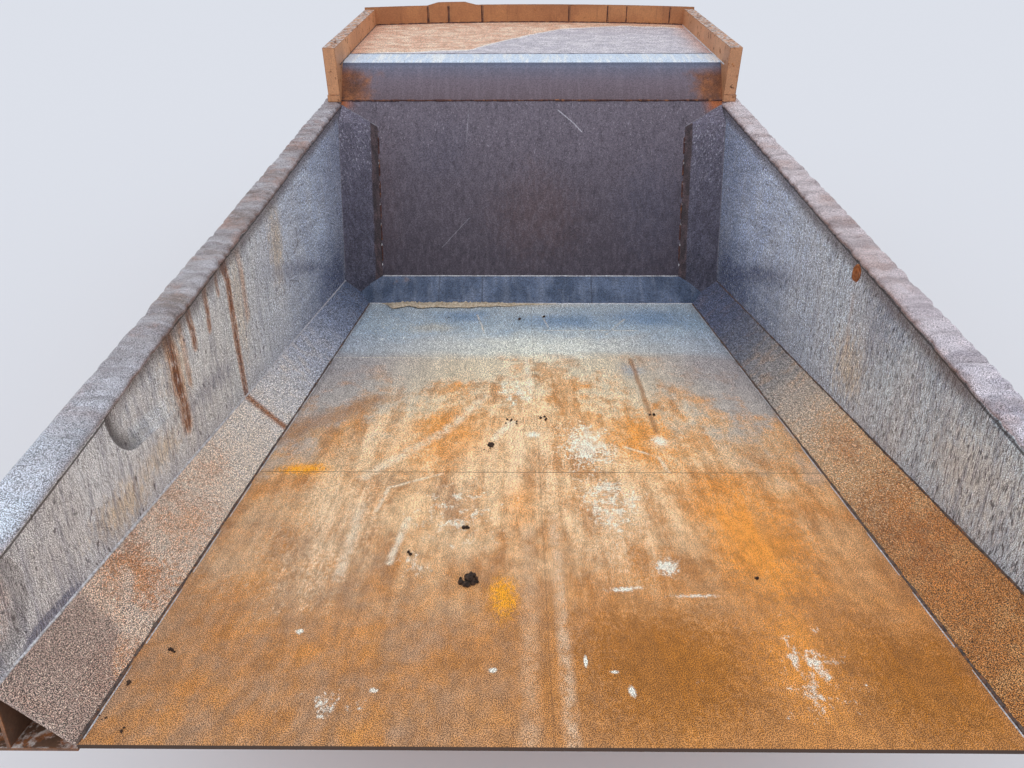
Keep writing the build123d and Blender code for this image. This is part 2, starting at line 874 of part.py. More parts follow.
# corner posts outside the walls, along the headboard
post_back = head_foot - corner_post_width
post_front = head_out + corner_post_proud
post_line = [
    (head_y + post_front, head_z),
    (wall_front + post_front, rail_bottom),
    (wall_front - corner_post_width, rail_bottom),
    at(post_back, corner_rise),
]
post_foot = [at(post_back, under_floor), at(head_foot + corner_post_proud, under_floor)]
for hand, side in sides:
    with BuildPart() as head_post:
        with BuildSketch(Plane.YZ.offset(side * wall_out)):
            Polygon(*post_line, align=None)
        extrude(amount=side * (rib_top_x - wall_out))
        with BuildSketch(Plane.YZ.offset(side * corner_out)):
            Polygon(*post_foot, *post_line, align=None)
        extrude(amount=side * (rib_top_x - corner_out))
        with BuildSketch(Plane.YZ.offset(side * wall_out)):
            Polygon(*post_foot, *post_line, align=None)
            offset(amount=-folded_plate, mode=Mode.REPLACE)
        extrude(amount=side * (rib_top_x - wall_out - folded_plate), mode=Mode.SUBTRACT)
    head_post.part.label = f"head_post_{hand}"
    export_step(head_post.part, f"parts/head_post_{hand}.step")

# swinging bars between the twin tyres, with their brackets
pin_centre = at(ejector_along, ejector_up)
pin_y, pin_z = pin_centre
cheek_in = hub_length / 2 + hub_clearance
cheek_out = cheek_in + cheek_plate
pin_half = cheek_out + pin_head
cheek_profile = [
    at(ejector_along - cheek_foot, under_floor),
    at(ejector_along + cheek_foot, under_floor),
    at(ejector_along + cheek_radius, ejector_up),
    at(ejector_along - cheek_radius, ejector_up),
]
bar_profile = [
    (pin_y - bar_depth / 2, pin_z),
    (pin_y + bar_depth / 2, pin_z),
    (pin_y + bar_depth / 2, pin_z - bar_length + bar_point),
    (pin_y + bar_tip / 2, pin_z - bar_length),
    (pin_y - bar_tip / 2, pin_z - bar_length),
    (pin_y - bar_depth / 2, pin_z - bar_length + bar_point),
]
for hand, side in sides:
    centre = side * ejector_x
    with BuildPart() as bracket:
        for start in (centre - cheek_out, centre + cheek_in):
            with BuildSketch(Plane.YZ.offset(start)):
                Polygon(*cheek_profile, align=None)
                with Locations(pin_centre):
                    Circle(cheek_radius)
            extrude(amount=cheek_plate)
        with BuildSketch(Plane.YZ.offset(centre)):
            with Locations(pin_centre):
                Circle(pin_radius)
        extrude(amount=pin_half, both=True)
        for start in (centre - pin_half, centre + cheek_out):
            with BuildSketch(Plane.YZ.offset(start)):
                with Locations(pin_centre):
                    Circle(pin_head_radius)
            extrude(amount=pin_head)
    bracket.part.label = f"ejector_bracket_{hand}"
    export_step(bracket.part, f"parts/ejector_bracket_{hand}.step")

    with BuildPart() as ejector:
        with BuildSketch(Plane.YZ.offset(centre)):
            with Locations(pin_centre):
                Circle(hub_radius)
        extrude(amount=hub_length / 2, both=True)
        with BuildSketch(Plane.YZ.offset(centre)):
            Polygon(*bar_profile, align=None)
        extrude(amount=bar_width / 2, both=True)
        with BuildSketch(Plane.YZ.offset(centre)):
            with Locations(pin_centre):
                Circle(pin_radius + pin_clearance)
        extrude(amount=pin_half, both=True, mode=Mode.SUBTRACT)
    ejector.part.label = f"rock_ejector_{hand}"
    export_step(ejector.part, f"parts/rock_ejector_{hand}.step")
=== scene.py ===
import math
import random
from math import cos, radians, sin, tan

import bpy
from mathutils import Matrix, Vector, noise


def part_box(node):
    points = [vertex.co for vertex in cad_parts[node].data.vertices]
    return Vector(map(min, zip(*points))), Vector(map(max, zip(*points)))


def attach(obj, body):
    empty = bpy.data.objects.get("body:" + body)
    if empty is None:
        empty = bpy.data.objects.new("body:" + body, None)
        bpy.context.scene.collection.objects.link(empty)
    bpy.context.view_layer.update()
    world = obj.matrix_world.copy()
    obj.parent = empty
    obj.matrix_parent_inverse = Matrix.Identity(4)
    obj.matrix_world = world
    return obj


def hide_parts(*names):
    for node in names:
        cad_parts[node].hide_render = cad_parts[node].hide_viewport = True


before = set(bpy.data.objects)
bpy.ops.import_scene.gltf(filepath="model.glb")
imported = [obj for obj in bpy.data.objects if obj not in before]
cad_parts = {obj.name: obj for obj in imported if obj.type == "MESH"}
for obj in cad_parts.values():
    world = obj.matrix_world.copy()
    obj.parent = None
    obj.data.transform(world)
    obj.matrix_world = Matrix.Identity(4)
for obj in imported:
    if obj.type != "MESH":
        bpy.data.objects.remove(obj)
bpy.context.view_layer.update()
print("frame loaded")

# the body's driving sizes, in metres; "along" runs up the floor, "up" stands off it
body = {
    "slope": radians(12.19),
    "pivotAlong": 1.95,
    "pivotUp": -0.45,
    "innerHalf": 1.86,
    "cornerRise": 0.23,
    "floorLength": 5.424,
    "rearPlate": 1.92,
    "wallPlate": 0.012,
    "railWidth": 0.195,
    "railRound": 0.04,
    "headLean": radians(21.93),
    "seamRise": 1.58,
    "gussetWall": 0.19,
    "gussetWidth": 0.23,
    "gussetReturn": 0.115,
    "gussetHeight": 1.48,
    "gussetPeak": 0.18,
    "ribWidth": 0.18,
}
ribRows = [1.0 + 0.86 * row for row in range(6)]
hands = [("left", -1), ("right", 1)]


def at(along, up):
    forward = along - body["pivotAlong"]
    off = up - body["pivotUp"]
    slope = body["slope"]
    return forward * cos(slope) + off * sin(slope), off * cos(slope) - forward * sin(slope)


def spot(x, along, up):
    return Vector((x, *at(along, up)))


innerHalf = body["innerHalf"]
floorHalf = innerHalf - body["cornerRise"]
headFoot = body["floorLength"] + body["cornerRise"]
railLow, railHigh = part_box("top_rail_left")
railBottom = railLow.z
crownStart = railHigh.z - body["railRound"]
headY, headZ = at(headFoot, body["cornerRise"])
seamZ = headZ + body["seamRise"]
seamY = headY + body["seamRise"] * tan(body["headLean"])
canopyLow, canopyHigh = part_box("canopy_plate")
canopyTop = canopyHigh.z


# where the ramps that run up the body end
rampEnd = 5.4


# where the tail's plane, square to the floor, cuts the level z
def tailY(z):
    return z * tan(body["slope"]) - body["pivotAlong"] / cos(body["slope"])


# camera where the photographer stood, relative to the body
camera = {
    "location": (-0.1266, -3.2215, 3.3051),
    "yaw": 0.54,
    "pitch": 55.70,
    "roll": -0.18,
    "lens": 26.37,
}
lens = bpy.data.cameras.new("photoCamera")
lens.lens = camera["lens"]
lens.sensor_width = 36
lens.clip_start = 0.05
lens.clip_end = 400
eye = bpy.data.objects.new("photoCamera", lens)
turn = Matrix.Rotation(radians(camera["yaw"]), 4, "Z") @ Matrix.Rotation(radians(camera["pitch"]), 4, "X")
turn = turn @ Matrix.Rotation(radians(camera["roll"]), 4, "Z")
eye.matrix_world = Matrix.Translation(camera["location"]) @ turn
bpy.context.scene.collection.objects.link(eye)
bpy.context.scene.camera = eye
print("camera placed")


# a display colour, 0 to 255, as the linear one that Blender wants
def tone(*levels):
    shares = [level / 255 for level in levels]
    return (*(share / 12.92 if share <= 0.04045 else ((share + 0.055) / 1.055) ** 2.4 for share in shares), 1.0)


# a value in a shader: sums, products and powers of wires make their own nodes
class Wire:
    def __init__(self, socket):
        self.socket = socket
        self.tree = socket.id_data

    def __abs__(self):
        return maths("ABSOLUTE", self)

    def __add__(self, other):
        return maths("ADD", self, other)

    def __radd__(self, other):
        return maths("ADD", other, self)

    def __sub__(self, other):
        return maths("SUBTRACT", self, other)

    def __rsub__(self, other):
        return maths("SUBTRACT", other, self)

    def __mul__(self, other):
        return maths("MULTIPLY", self, other)

    def __truediv__(self, other):
        return maths("DIVIDE", self, other)

    def __pow__(self, other):
        return maths("POWER", self, other)


# makes a node beside the wires that feed it, or in a given tree, and gives back one of its outputs
def put(kind, inputs=None, output=0, tree=None, **settings):
    inputs = inputs or {}
    tree = tree or next(value.tree for value in inputs.values() if isinstance(value, Wire))
    made = tree.nodes.new(kind)
    for key, value in settings.items():
        setattr(made, key, value)
    for key, value in inputs.items():
        if isinstance(value, Wire):
            tree.links.new(value.socket, made.inputs[key])
        else:
            made.inputs[key].default_value = value
    return Wire(made.outputs[output]) if made.outputs else None


def maths(operation, first, second=0.0):
    return put("ShaderNodeMath", {0: first, 1: second}, operation=operation)


def clamped(value):
    return put("ShaderNodeClamp", {"Value": value})


def vectorMaths(operation, first, second=(0, 0, 0), output=0):
    return put("ShaderNodeVectorMath", {0: first, 1: second}, output, operation=operation)


def dot(first, second):
    return vectorMaths("DOT_PRODUCT", first, second, "Value")


def lengthOf(vector):
    return vectorMaths("LENGTH", vector, output="Value")


# a vector made longer or shorter, or a colour made lighter or darker, by a factor
def scaled(vector, factor):
    return put("ShaderNodeVectorMath", {0: vector, 3: factor}, operation="SCALE")


def split(vector):
    return [Wire(socket) for socket in put("ShaderNodeSeparateXYZ", {0: vector}).socket.node.outputs]


# a value eased from one pair of levels to another
def spread(value, low, high, toLow=0.0, toHigh=1.0, tree=None):
    ends = {"Value": value, "From Min": low, "From Max": high, "To Min": toLow, "To Max": toHigh}
    return put("ShaderNodeMapRange", ends, 0, tree, interpolation_type="SMOOTHSTEP")


# how far a value lies between two levels, without easing
def shareOf(value, low, high):
    return (value - low) / (high - low)


def blend(share, under, over, way="MIX"):
    return put("ShaderNodeMix", {0: share, 6: under, 7: over}, 2, data_type="RGBA", blend_type=way)


def ramp(share, stops):
    found = put("ShaderNodeValToRGB", {"Fac": share}, "Color")
    points = found.socket.node.color_ramp.elements
    for index, (place, colour) in enumerate(stops):
        point = points[index] if index < 2 else points.new(place)
        point.position = place
        point.color = colour
    return found


# a ramp of display colours given as (place, red, green, blue)
def toneRamp(share, stops):
    return ramp(share, [(place, tone(*levels)) for place, *levels in stops])


def strongest(masks):
    found = masks[0]
    for mask in masks[1:]:
        found = maths("MAXIMUM", found, mask)
    return found


def noiseOf(place, scale, detail, roughness, output="Fac"):
    source = {"Vector": place, "Scale": scale, "Detail": detail, "Roughness": roughness}
    return put("ShaderNodeTexNoise", source, output)


def objectPlace(tree):
    return put("ShaderNodeTexCoord", None, "Object", tree)


def normalOf(tree):
    return put("ShaderNodeNewGeometry", None, "Normal", tree)


socketKinds = {"VALUE": "NodeSocketFloat", "VECTOR": "NodeSocketVector", "RGBA": "NodeSocketColor"}


# a shader group with named inputs: three numbers stand for a vector and four for a colour
def newGroup(name, inputs):
    tree = bpy.data.node_groups.new(name, "ShaderNodeTree")
    for label, value in inputs.items():
        numbers = len(value) if isinstance(value, tuple) else 1
        kind = socketKinds[{1: "VALUE", 3: "VECTOR", 4: "RGBA"}[numbers]]
        tree.interface.new_socket(label, in_out="INPUT", socket_type=kind).default_value = value
    entry = tree.nodes.new("NodeGroupInput")
    return tree, {socket.name: Wire(socket) for socket in entry.outputs}


def closeGroup(tree, outputs):
    for label, wire in outputs.items():
        tree.interface.new_socket(label, in_out="OUTPUT", socket_type=socketKinds[wire.socket.type])
    put("NodeGroupOutput", outputs)
    return tree


def useGroup(group, inputs=None, tree=None):
    made = put("ShaderNodeGroup", inputs, 0, tree, node_tree=group).socket.node
    return {socket.name: Wire(socket) for socket in made.outputs}


# where a point is in the body's own directions: x, along the floor, up off the floor
def makeFloorPlace():
    tree = newGroup("floorPlace", {})[0]
    mapping = {
        "Vector": objectPlace(tree),
        "Location": (0, body["pivotAlong"], body["pivotUp"]),
        "Rotation": (body["slope"], 0, 0),
    }
    return closeGroup(tree, {"Place": put("ShaderNodeMapping", mapping)})


# noise between two levels, stretched as wanted
def makeGrain():
    tree, entry = newGroup("grain", {
        "Place": (0, 0, 0), "Stretch": (1, 1, 1), "Shift": (0, 0, 0), "Scale": 1.0,
        "Detail": 4.0, "Roughness": 0.55, "Low": 0.35, "High": 0.65,
    })
    place = vectorMaths("ADD", vectorMaths("MULTIPLY", entry["Place"], entry["Stretch"]), entry["Shift"])
    value = noiseOf(place, entry["Scale"], entry["Detail"], entry["Roughness"])
    return closeGroup(tree, {"Mask": spread(value, entry["Low"], entry["High"])})


# a coarse wobble that makes outlines ragged
def makeWobble():
    tree, entry = newGroup("wobble", {"Place": (0, 0, 0), "Scale": 3.0, "Detail": 6.0})
    colour = noiseOf(entry["Place"], entry["Scale"], entry["Detail"], 0.65, "Color")
    return closeGroup(tree, {"Wobble": vectorMaths("SUBTRACT", colour, (0.5, 0.5, 0.5))})


# a ragged elliptical stain, broken into flecks towards its rim
def makeStain():
    tree, entry = newGroup("stain", {
        "Place": (0, 0, 0), "Wobble": (0, 0, 0), "Grit": 0.0, "Centre": (0, 0, 0),
        "Size": (1, 1, 1), "Edge": 0.5, "Ragged": 0.2, "Flecks": 0.5,
    })
    shifted = scaled(entry["Wobble"], entry["Ragged"])
    place = vectorMaths("SUBTRACT", vectorMaths("ADD", entry["Place"], shifted), entry["Centre"])
    far = lengthOf(vectorMaths("DIVIDE", place, entry["Size"])) + entry["Grit"] * entry["Flecks"]
    return closeGroup(tree, {"Mask": spread(far, 1.0, 1.0 - entry["Edge"])})


# a ragged mark along a straight line, such as a run of rust or a scrape
def makeMark():
    tree, entry = newGroup("mark", {
        "Place": (0, 0, 0), "Wobble": (0, 0, 0), "From": (0, 0, 0), "To": (0, 1, 0),
        "Width": 0.02, "Edge": 0.6, "Ragged": 0.02,
    })
    place = vectorMaths("ADD", entry["Place"], scaled(entry["Wobble"], entry["Ragged"]))
    reach = vectorMaths("SUBTRACT", place, entry["From"])
    line = vectorMaths("SUBTRACT", entry["To"], entry["From"])
    foot = scaled(line, clamped(dot(reach, line) / dot(line, line)))
    far = lengthOf(vectorMaths("SUBTRACT", reach, foot))
    return closeGroup(tree, {"Mask": spread(far, entry["Width"], entry["Width"] * (1.0 - entry["Edge"]))})


# edges rubbed bare, broken up by noise
def makeEdgeWear():
    tree, entry = newGroup("edgeWear", {"Place": (0, 0, 0), "Radius": 0.012, "Scale": 20.0, "Low": 0.02, "High": 0.12})
    soft = put("ShaderNodeBevel", {"Radius": entry["Radius"]}, samples=4)
    bend = 1.0 - dot(soft, normalOf(tree))
    broken = spread(noiseOf(entry["Place"], entry["Scale"], 5.0, 0.7), 0.3, 0.7, 0.2, 1.8)
    return closeGroup(tree, {"Mask": spread(bend * broken, entry["Low"], entry["High"])})


# rust from dark brown to orange, mottled at two sizes
def makeRust():
    tree, entry = newGroup("rust", {"Place": (0, 0, 0), "Scale": 2.0, "Brightness": 0.0})
    broad = noiseOf(entry["Place"], entry["Scale"], 8.0, 0.68)
    fine = noiseOf(entry["Place"], 130.0, 3.0, 0.6)
    colour = toneRamp(broad * 0.72 + fine * 0.28 + entry["Brightness"], [
        (0.30, 92, 56, 34), (0.44, 152, 94, 52), (0.53, 190, 122, 66),
        (0.62, 214, 140, 70), (0.74, 232, 160, 78),
    ])
    return closeGroup(tree, {"Colour": colour, "Height": fine})


# orange body paint, chipped to rust, with settled dust
def makeBodyPaint():
    tree, entry = newGroup("bodyPaint", {
        "Place": (0, 0, 0), "Wear": 0.0, "Facing": 0.0, "Chips": 0.34, "Dust": 0.3,
        "Deep": tone(190, 112, 54), "Pale": tone(216, 140, 76),
    })
    place = entry["Place"]

    def layer(scale, low, high, stretch=(1, 1, 1), shift=(0, 0, 0), detail=8.0):
        moved = vectorMaths("ADD", vectorMaths("MULTIPLY", place, stretch), shift)
        return spread(noiseOf(moved, scale, detail, 0.66), low, high)

    colour = blend(layer(1.7, 0.35, 0.65), entry["Deep"], entry["Pale"])
    colour = blend(layer(1.0, 0.52, 0.68, (24, 24, 1.8)) * 0.30, colour, tone(120, 78, 52))
    limit = 1.0 - entry["Chips"] - entry["Facing"] * 0.22
    chipped = spread(layer(16.0, 0.0, 1.0, (1, 1, 1), (3, 5, 7)) - limit, -0.02, 0.06)
    bare = maths("MAXIMUM", entry["Wear"], chipped)
    rusty = useGroup(rust, {"Place": place, "Scale": 9.0, "Brightness": -0.10})["Colour"]
    steel = blend(layer(30.0, 0.42, 0.58, (1, 1, 1), (1, 9, 1)), rusty, tone(206, 196, 190))
    colour = blend(bare, colour, blend(entry["Facing"], rusty, steel))
    settled = layer(1.2, 0.3, 0.7, (1, 1, 2), (8, 8, 8)) * entry["Dust"]
    colour = blend(settled, colour, tone(176, 158, 140))
    fine = layer(80.0, 0.32, 0.68, detail=3.0)
    shades = ramp(fine, [(0.0, (0.84, 0.84, 0.84, 1)), (1.0, (1.12, 1.12, 1.12, 1))])
    colour = blend(1.0, colour, shades, "MULTIPLY")
    return closeGroup(tree, {"Colour": colour, "Bare": bare, "Height": fine * 0.15 - bare})


floorPlace = makeFloorPlace()
grain = makeGrain()
wobble = makeWobble()
stain = makeStain()
mark = makeMark()
edgeWear = makeEdgeWear()
rust = makeRust()
bodyPaint = makeBodyPaint()
print("shader groups made")


def newMaterial(name):
    material = bpy.data.materials.new(name)
    material.use_nodes = True
    material.node_tree.nodes.clear()
    return material, material.node_tree


# the back of a liner plate is painted: inward points from the plate into the load space
def paintBack(colour, roughness, inward):
    raw = objectPlace(colour.tree)
    back = spread(dot(normalOf(colour.tree), inward), -0.1, -0.5)
    coat = blend(grainOf(raw, 1.7), tone(190, 112, 54), tone(216, 140, 76))
    chips = grainOf(raw, 16.0, 0.58, 0.66, 5.0, 0.66)
    coat = blend(chips, coat, tone(120, 76, 50))
    mixedRough = put("ShaderNodeMix", {0: back, 2: roughness, 3: spread(chips, 0, 1, 0.5, 0.8)})
    return blend(back, colour, coat), mixedRough, 1.0 - back


def finish(material, colour, roughness, metallic, height, bump, distance, inward=None):
    if inward:
        colour, roughness, front = paintBack(colour, roughness, inward)
        metallic = front * metallic
    raised = put("ShaderNodeBump", {"Height": height, "Strength": bump, "Distance": distance})
    look = {"Base Color": colour, "Roughness": roughness, "Metallic": metallic, "Normal": raised}
    put("ShaderNodeOutputMaterial", {"Surface": put("ShaderNodeBsdfPrincipled", look)})
    return material


# a place in the body's own directions, and its three parts
def placeOf(tree):
    place = useGroup(floorPlace, tree=tree)["Place"]
    return place, *split(place)


def grainOf(place, scale, low=0.35, high=0.65, detail=4.0, roughness=0.55, stretch=(1, 1, 1), shift=(0, 0, 0)):
    return useGroup(grain, {
        "Place": place, "Stretch": stretch, "Shift": shift, "Scale": scale,
        "Detail": detail, "Roughness": roughness, "Low": low, "High": high,
    })["Mask"]


# a wobble and its three parts
def wobbleOf(place, scale, detail=5.0):
    loose = useGroup(wobble, {"Place": place, "Scale": scale, "Detail": detail})["Wobble"]
    return loose, split(loose)


# stains given as (centre, size, edge, ragged, flecks, strength) and maybe a turn in degrees; on the floor or a wall
def stains(place, loose, grit, rows, wall=False):
    found = 0.0
    for centre, size, edge, ragged, flecks, strength, *turn in rows:
        middle = (0, *centre) if wall else (*centre, 0)
        half = (9, *size) if wall else (*size, 9)
        where = place
        if turn:
            axis = "X_AXIS" if wall else "Z_AXIS"
            turned = {"Vector": place, "Center": middle, "Angle": radians(turn[0])}
            where = put("ShaderNodeVectorRotate", turned, rotation_type=axis)
        mask = useGroup(stain, {
            "Place": where, "Wobble": loose, "Grit": grit, "Centre": middle, "Size": half,
            "Edge": edge, "Ragged": ragged, "Flecks": flecks,
        })["Mask"]
        found = maths("MAXIMUM", mask * strength, found)
    return found


# marks given as (points, width, edge, ragged, strength)
def marks(place, loose, rows, wall=False):
    found = 0.0
    for points, width, edge, ragged, strength in rows:
        spots = [(0, *point) if wall else (*point, 0) for point in points]
        for start, end in zip(spots, spots[1:]):
            mask = useGroup(mark, {
                "Place": place, "Wobble": loose, "From": start, "To": end,
                "Width": width, "Edge": edge, "Ragged": ragged,
            })["Mask"]
            found = maths("MAXIMUM", mask * strength, found)
    return found


# grain at three sizes; the coarser ones grow towards the head, from and to which places and depths
speckles = {
    "fine": {"scale": 270.0, "depth": 1.45},
    "middle": {"scale": 105.0, "grows": (0.6, 3.4, 0.10, 1.15)},
    "coarse": {"scale": 58.0, "grows": (2.3, 4.8, 0.0, 0.8)},
    "darkest": 0.15,
}


# salt-and-pepper grain that leaves the mean shade alone
def speckle(place, colour, along, depth=1.0):
    look = speckles
    fine = grainOf(place, look["fine"]["scale"], 0.44, 0.56, 0.0)
    middle = grainOf(place, look["middle"]["scale"], 0.42, 0.58, 0.0, 0.5, (1, 1, 1), (3, 1, 2))
    coarse = grainOf(place, look["coarse"]["scale"], 0.42, 0.58, 0.0, 0.5, (1, 1, 1), (6, 2, 2))
    fine = (fine - 0.5) * look["fine"]["depth"]
    middle = (middle - 0.5) * spread(along, *look["middle"]["grows"], place.tree)
    coarse = (coarse - 0.5) * spread(along, *look["coarse"]["grows"], place.tree)
    return scaled(colour, maths("MAXIMUM", look["darkest"], 1.0 + (fine + (middle + coarse)) * depth))


def flattened(place, keepX):
    return vectorMaths("MULTIPLY", place, (1, 1, 0) if keepX else (0, 1, 1))


# the worn floor: orange rust behind, polished blue-grey at the front, its pale blue partly a painted sky reflection
wearFloor = {
    # soft zones as (colour, streaked, rows), from the tail forwards
    "zones": [
        (
            tone(172, 106, 30), 0.2,
            [((0.45, 0.4), (0.52, 0.52), 0.7, 0.3, 0.7, 0.9), ((1.4, 0.3), (0.4, 0.5), 0.8, 0.3, 0.8, 0.9)],
        ),
        (
            tone(240, 156, 64), 0.3,
            [
                ((1.02, 1.32), (0.36, 0.8), 0.7, 0.2, 0.7, 0.95), ((0.98, 0.42), (0.2, 0.4), 0.9, 0.2, 0.9, 0.75),
                ((-0.11, 1.6), (0.13, 0.34), 0.9, 0.2, 1.0, 0.8), ((-0.52, 3.35), (0.13, 0.42), 0.9, 0.2, 1.1, 0.9),
                ((0.38, 3.22), (0.12, 0.26), 0.9, 0.2, 1.0, 0.8), ((-0.55, 2.4), (0.45, 0.55), 0.95, 0.4, 1.5, 0.9),
                ((0.66, 2.4), (0.42, 0.55), 0.95, 0.4, 1.5, 0.9), ((-0.2, 3.66), (0.24, 0.22), 0.9, 0.3, 1.2, 0.7),
            ],
        ),
        (
            tone(246, 216, 188), 0.6,
            [
                ((-1.08, 1.42), (0.3, 0.75), 0.9, 0.2, 1.3, 0.85), ((-1.0, 2.35), (0.28, 0.6), 0.9, 0.2, 1.3, 0.7),
                ((-0.1, 2.2), (0.5, 0.9), 0.95, 0.3, 1.5, 0.7), ((0.4, 1.45), (0.4, 0.6), 0.95, 0.3, 1.5, 0.6),
            ],
        ),
        (
            tone(208, 176, 150), 0.3,
            [((1.32, 2.35), (0.42, 0.55), 0.9, 0.3, 1.2, 0.9), ((-1.45, 1.25), (0.25, 0.6), 0.9, 0.3, 1.2, 0.5)],
        ),
        (
            tone(255, 172, 30), 0.0,
            [((-0.19, 0.8), (0.085, 0.2), 0.9, 0.12, 0.9, 0.95), ((-1.38, 1.95), (0.2, 0.09), 0.8, 0.1, 0.8, 0.95)],
        ),
    ],
    "shades": [
        (0.0, (0.9, 0.92, 0.86, 1)), (0.3, (1.01, 0.98, 0.84, 1)), (0.5, (1.08, 1.08, 0.92, 1)),
        (0.78, (0.89, 0.93, 0.9, 1)), (1.0, (0.97, 0.92, 0.84, 1)),
    ],
    # flecks of white crust
    "crust": [
        ((0.3, 2.25), (0.26, 0.55), 0.95, 0.25, 0.8, 1.0), ((0.37, 1.6), (0.3, 0.5), 0.95, 0.25, 0.8, 0.78),
        ((-0.14, 3.15), (0.24, 0.5), 0.95, 0.2, 0.8, 0.7), ((-0.45, 1.5), (0.4, 0.6), 0.95, 0.3, 0.8, 0.55),
        ((0.35, 4.1), (0.7, 0.35), 0.95, 0.3, 0.8, 0.75), ((1.0, 0.35), (0.22, 0.42), 0.9, 0.2, 0.8, 0.58),
        ((-1.3, 4.6), (0.5, 0.8), 0.95, 0.3, 0.8, 0.5), ((-0.8, 0.19), (0.2, 0.1), 0.9, 0.2, 0.8, 0.62),
        ((-0.6, 1.05), (0.14, 0.2), 0.9, 0.2, 0.8, 0.55),
    ],
    "dabs": [
        ((0.765, 2.33), (0.065, 0.085), 0.8, 0.1, 1.0, 0.95), ((-0.03, 2.42), (0.055, 0.06), 0.8, 0.08, 1.0, 0.9),
        ((0.575, 1.02), (0.06, 0.075), 0.8, 0.1, 1.2, 0.95), ((0.35, 0.855), (0.1, 0.022), 0.8, 0.05, 1.1, 0.9, -8),
        ((0.66, 0.81), (0.13, 0.014), 0.9, 0.04, 1.4, 0.7), ((-1.02, 0.57), (0.018, 0.02), 0.5, 0.03, 0.6, 0.95),
        ((-0.66, 0.25), (0.02, 0.016), 0.6, 0.03, 0.8, 0.8), ((-0.22, 0.355), (0.02, 0.018), 0.6, 0.02, 0.6, 0.95),
        ((0.14, 0.405), (0.01, 0.04), 0.5, 0.01, 0.4, 1.0), ((0.245, 0.348), (0.022, 0.011), 0.6, 0.02, 0.6, 0.9),
        ((0.301, 0.252), (0.018, 0.034), 0.6, 0.02, 0.5, 0.95),
    ],
    "smears": [
        (((-0.36, 3.03), (-0.6, 2.45), (-1.0, 1.86)), 0.065, 0.95, 0.06, 0.75),
        (((-0.17, 2.6), (-0.27, 2.36)), 0.05, 0.9, 0.04, 0.95),
        (((0.53, 2.25), (0.72, 2.11), (0.745, 1.93)), 0.022, 0.9, 0.03, 0.85),
        (((-0.56, 1.9), (-0.84, 1.74), (-0.87, 1.5)), 0.02, 0.9, 0.03, 0.85),
        (((-0.69, 1.42), (-0.73, 1.05)), 0.032, 0.9, 0.03, 0.95),
        (((-0.96, 1.55), (-0.94, 0.92)), 0.045, 0.95, 0.03, 0.7),
        (((-0.06, 3.8), (-0.03, 3.1)), 0.03, 0.9, 0.05, 0.7), (((0.1, 4.56), (0.95, 4.56)), 0.024, 0.9, 0.04, 0.7),
        (((-0.52, 5.05), (-0.42, 4.45)), 0.014, 0.8, 0.02, 0.9), (((0.1, 5.03), (0.15, 4.66)), 0.012, 0.8, 0.02, 0.8),
        (((0.88, 4.9), (0.66, 4.45)), 0.02, 0.9, 0.03, 0.8), (((-1.6, 3.84), (0.6, 3.84)), 0.016, 0.9, 0.03, 0.6),
    ],
    "centreStreaks": [
        (((-0.075, 1.35), (-0.08, 0.0)), 0.06, 0.95, 0.05, 0.4),
        (((0.062, 1.45), (0.062, 0.0)), 0.045, 0.95, 0.02, 0.8),
    ],
    "darkMarks": [
        (((-1.66, 2.36), (-1.12, 2.98)), 0.17, 0.98, 0.15, 0.6),
        (((0.785, 3.81), (0.765, 2.45)), 0.034, 0.95, 0.04, 0.8),
    ],
    "seams": [
        (((-1.63, 1.92), (1.63, 1.92)), 0.005, 0.5, 0.0, 0.7), (((0.0, 0.0), (0.0, 5.42)), 0.004, 0.5, 0.0, 0.3),
    ],
    "blues": [
        ((-0.62, 5.0), (0.34, 0.3), 0.9, 0.3, 0.9, 0.8), ((1.1, 4.95), (0.6, 0.4), 0.9, 0.4, 0.9, 0.8),
        ((0.28, 4.85), (0.6, 0.28), 0.9, 0.3, 0.9, 0.8), ((0.75, 3.55), (0.14, 0.22), 0.9, 0.2, 0.9, 0.4),
    ],
    "dirt": [((-0.9, 4.62), (0.3, 0.2), 0.9, 0.3, 1.0, 0.7), ((-0.4, 5.38), (1.3, 0.12), 0.9, 0.2, 1.0, 0.6)],
}


floorInward = (0, sin(body["slope"]), cos(body["slope"]))


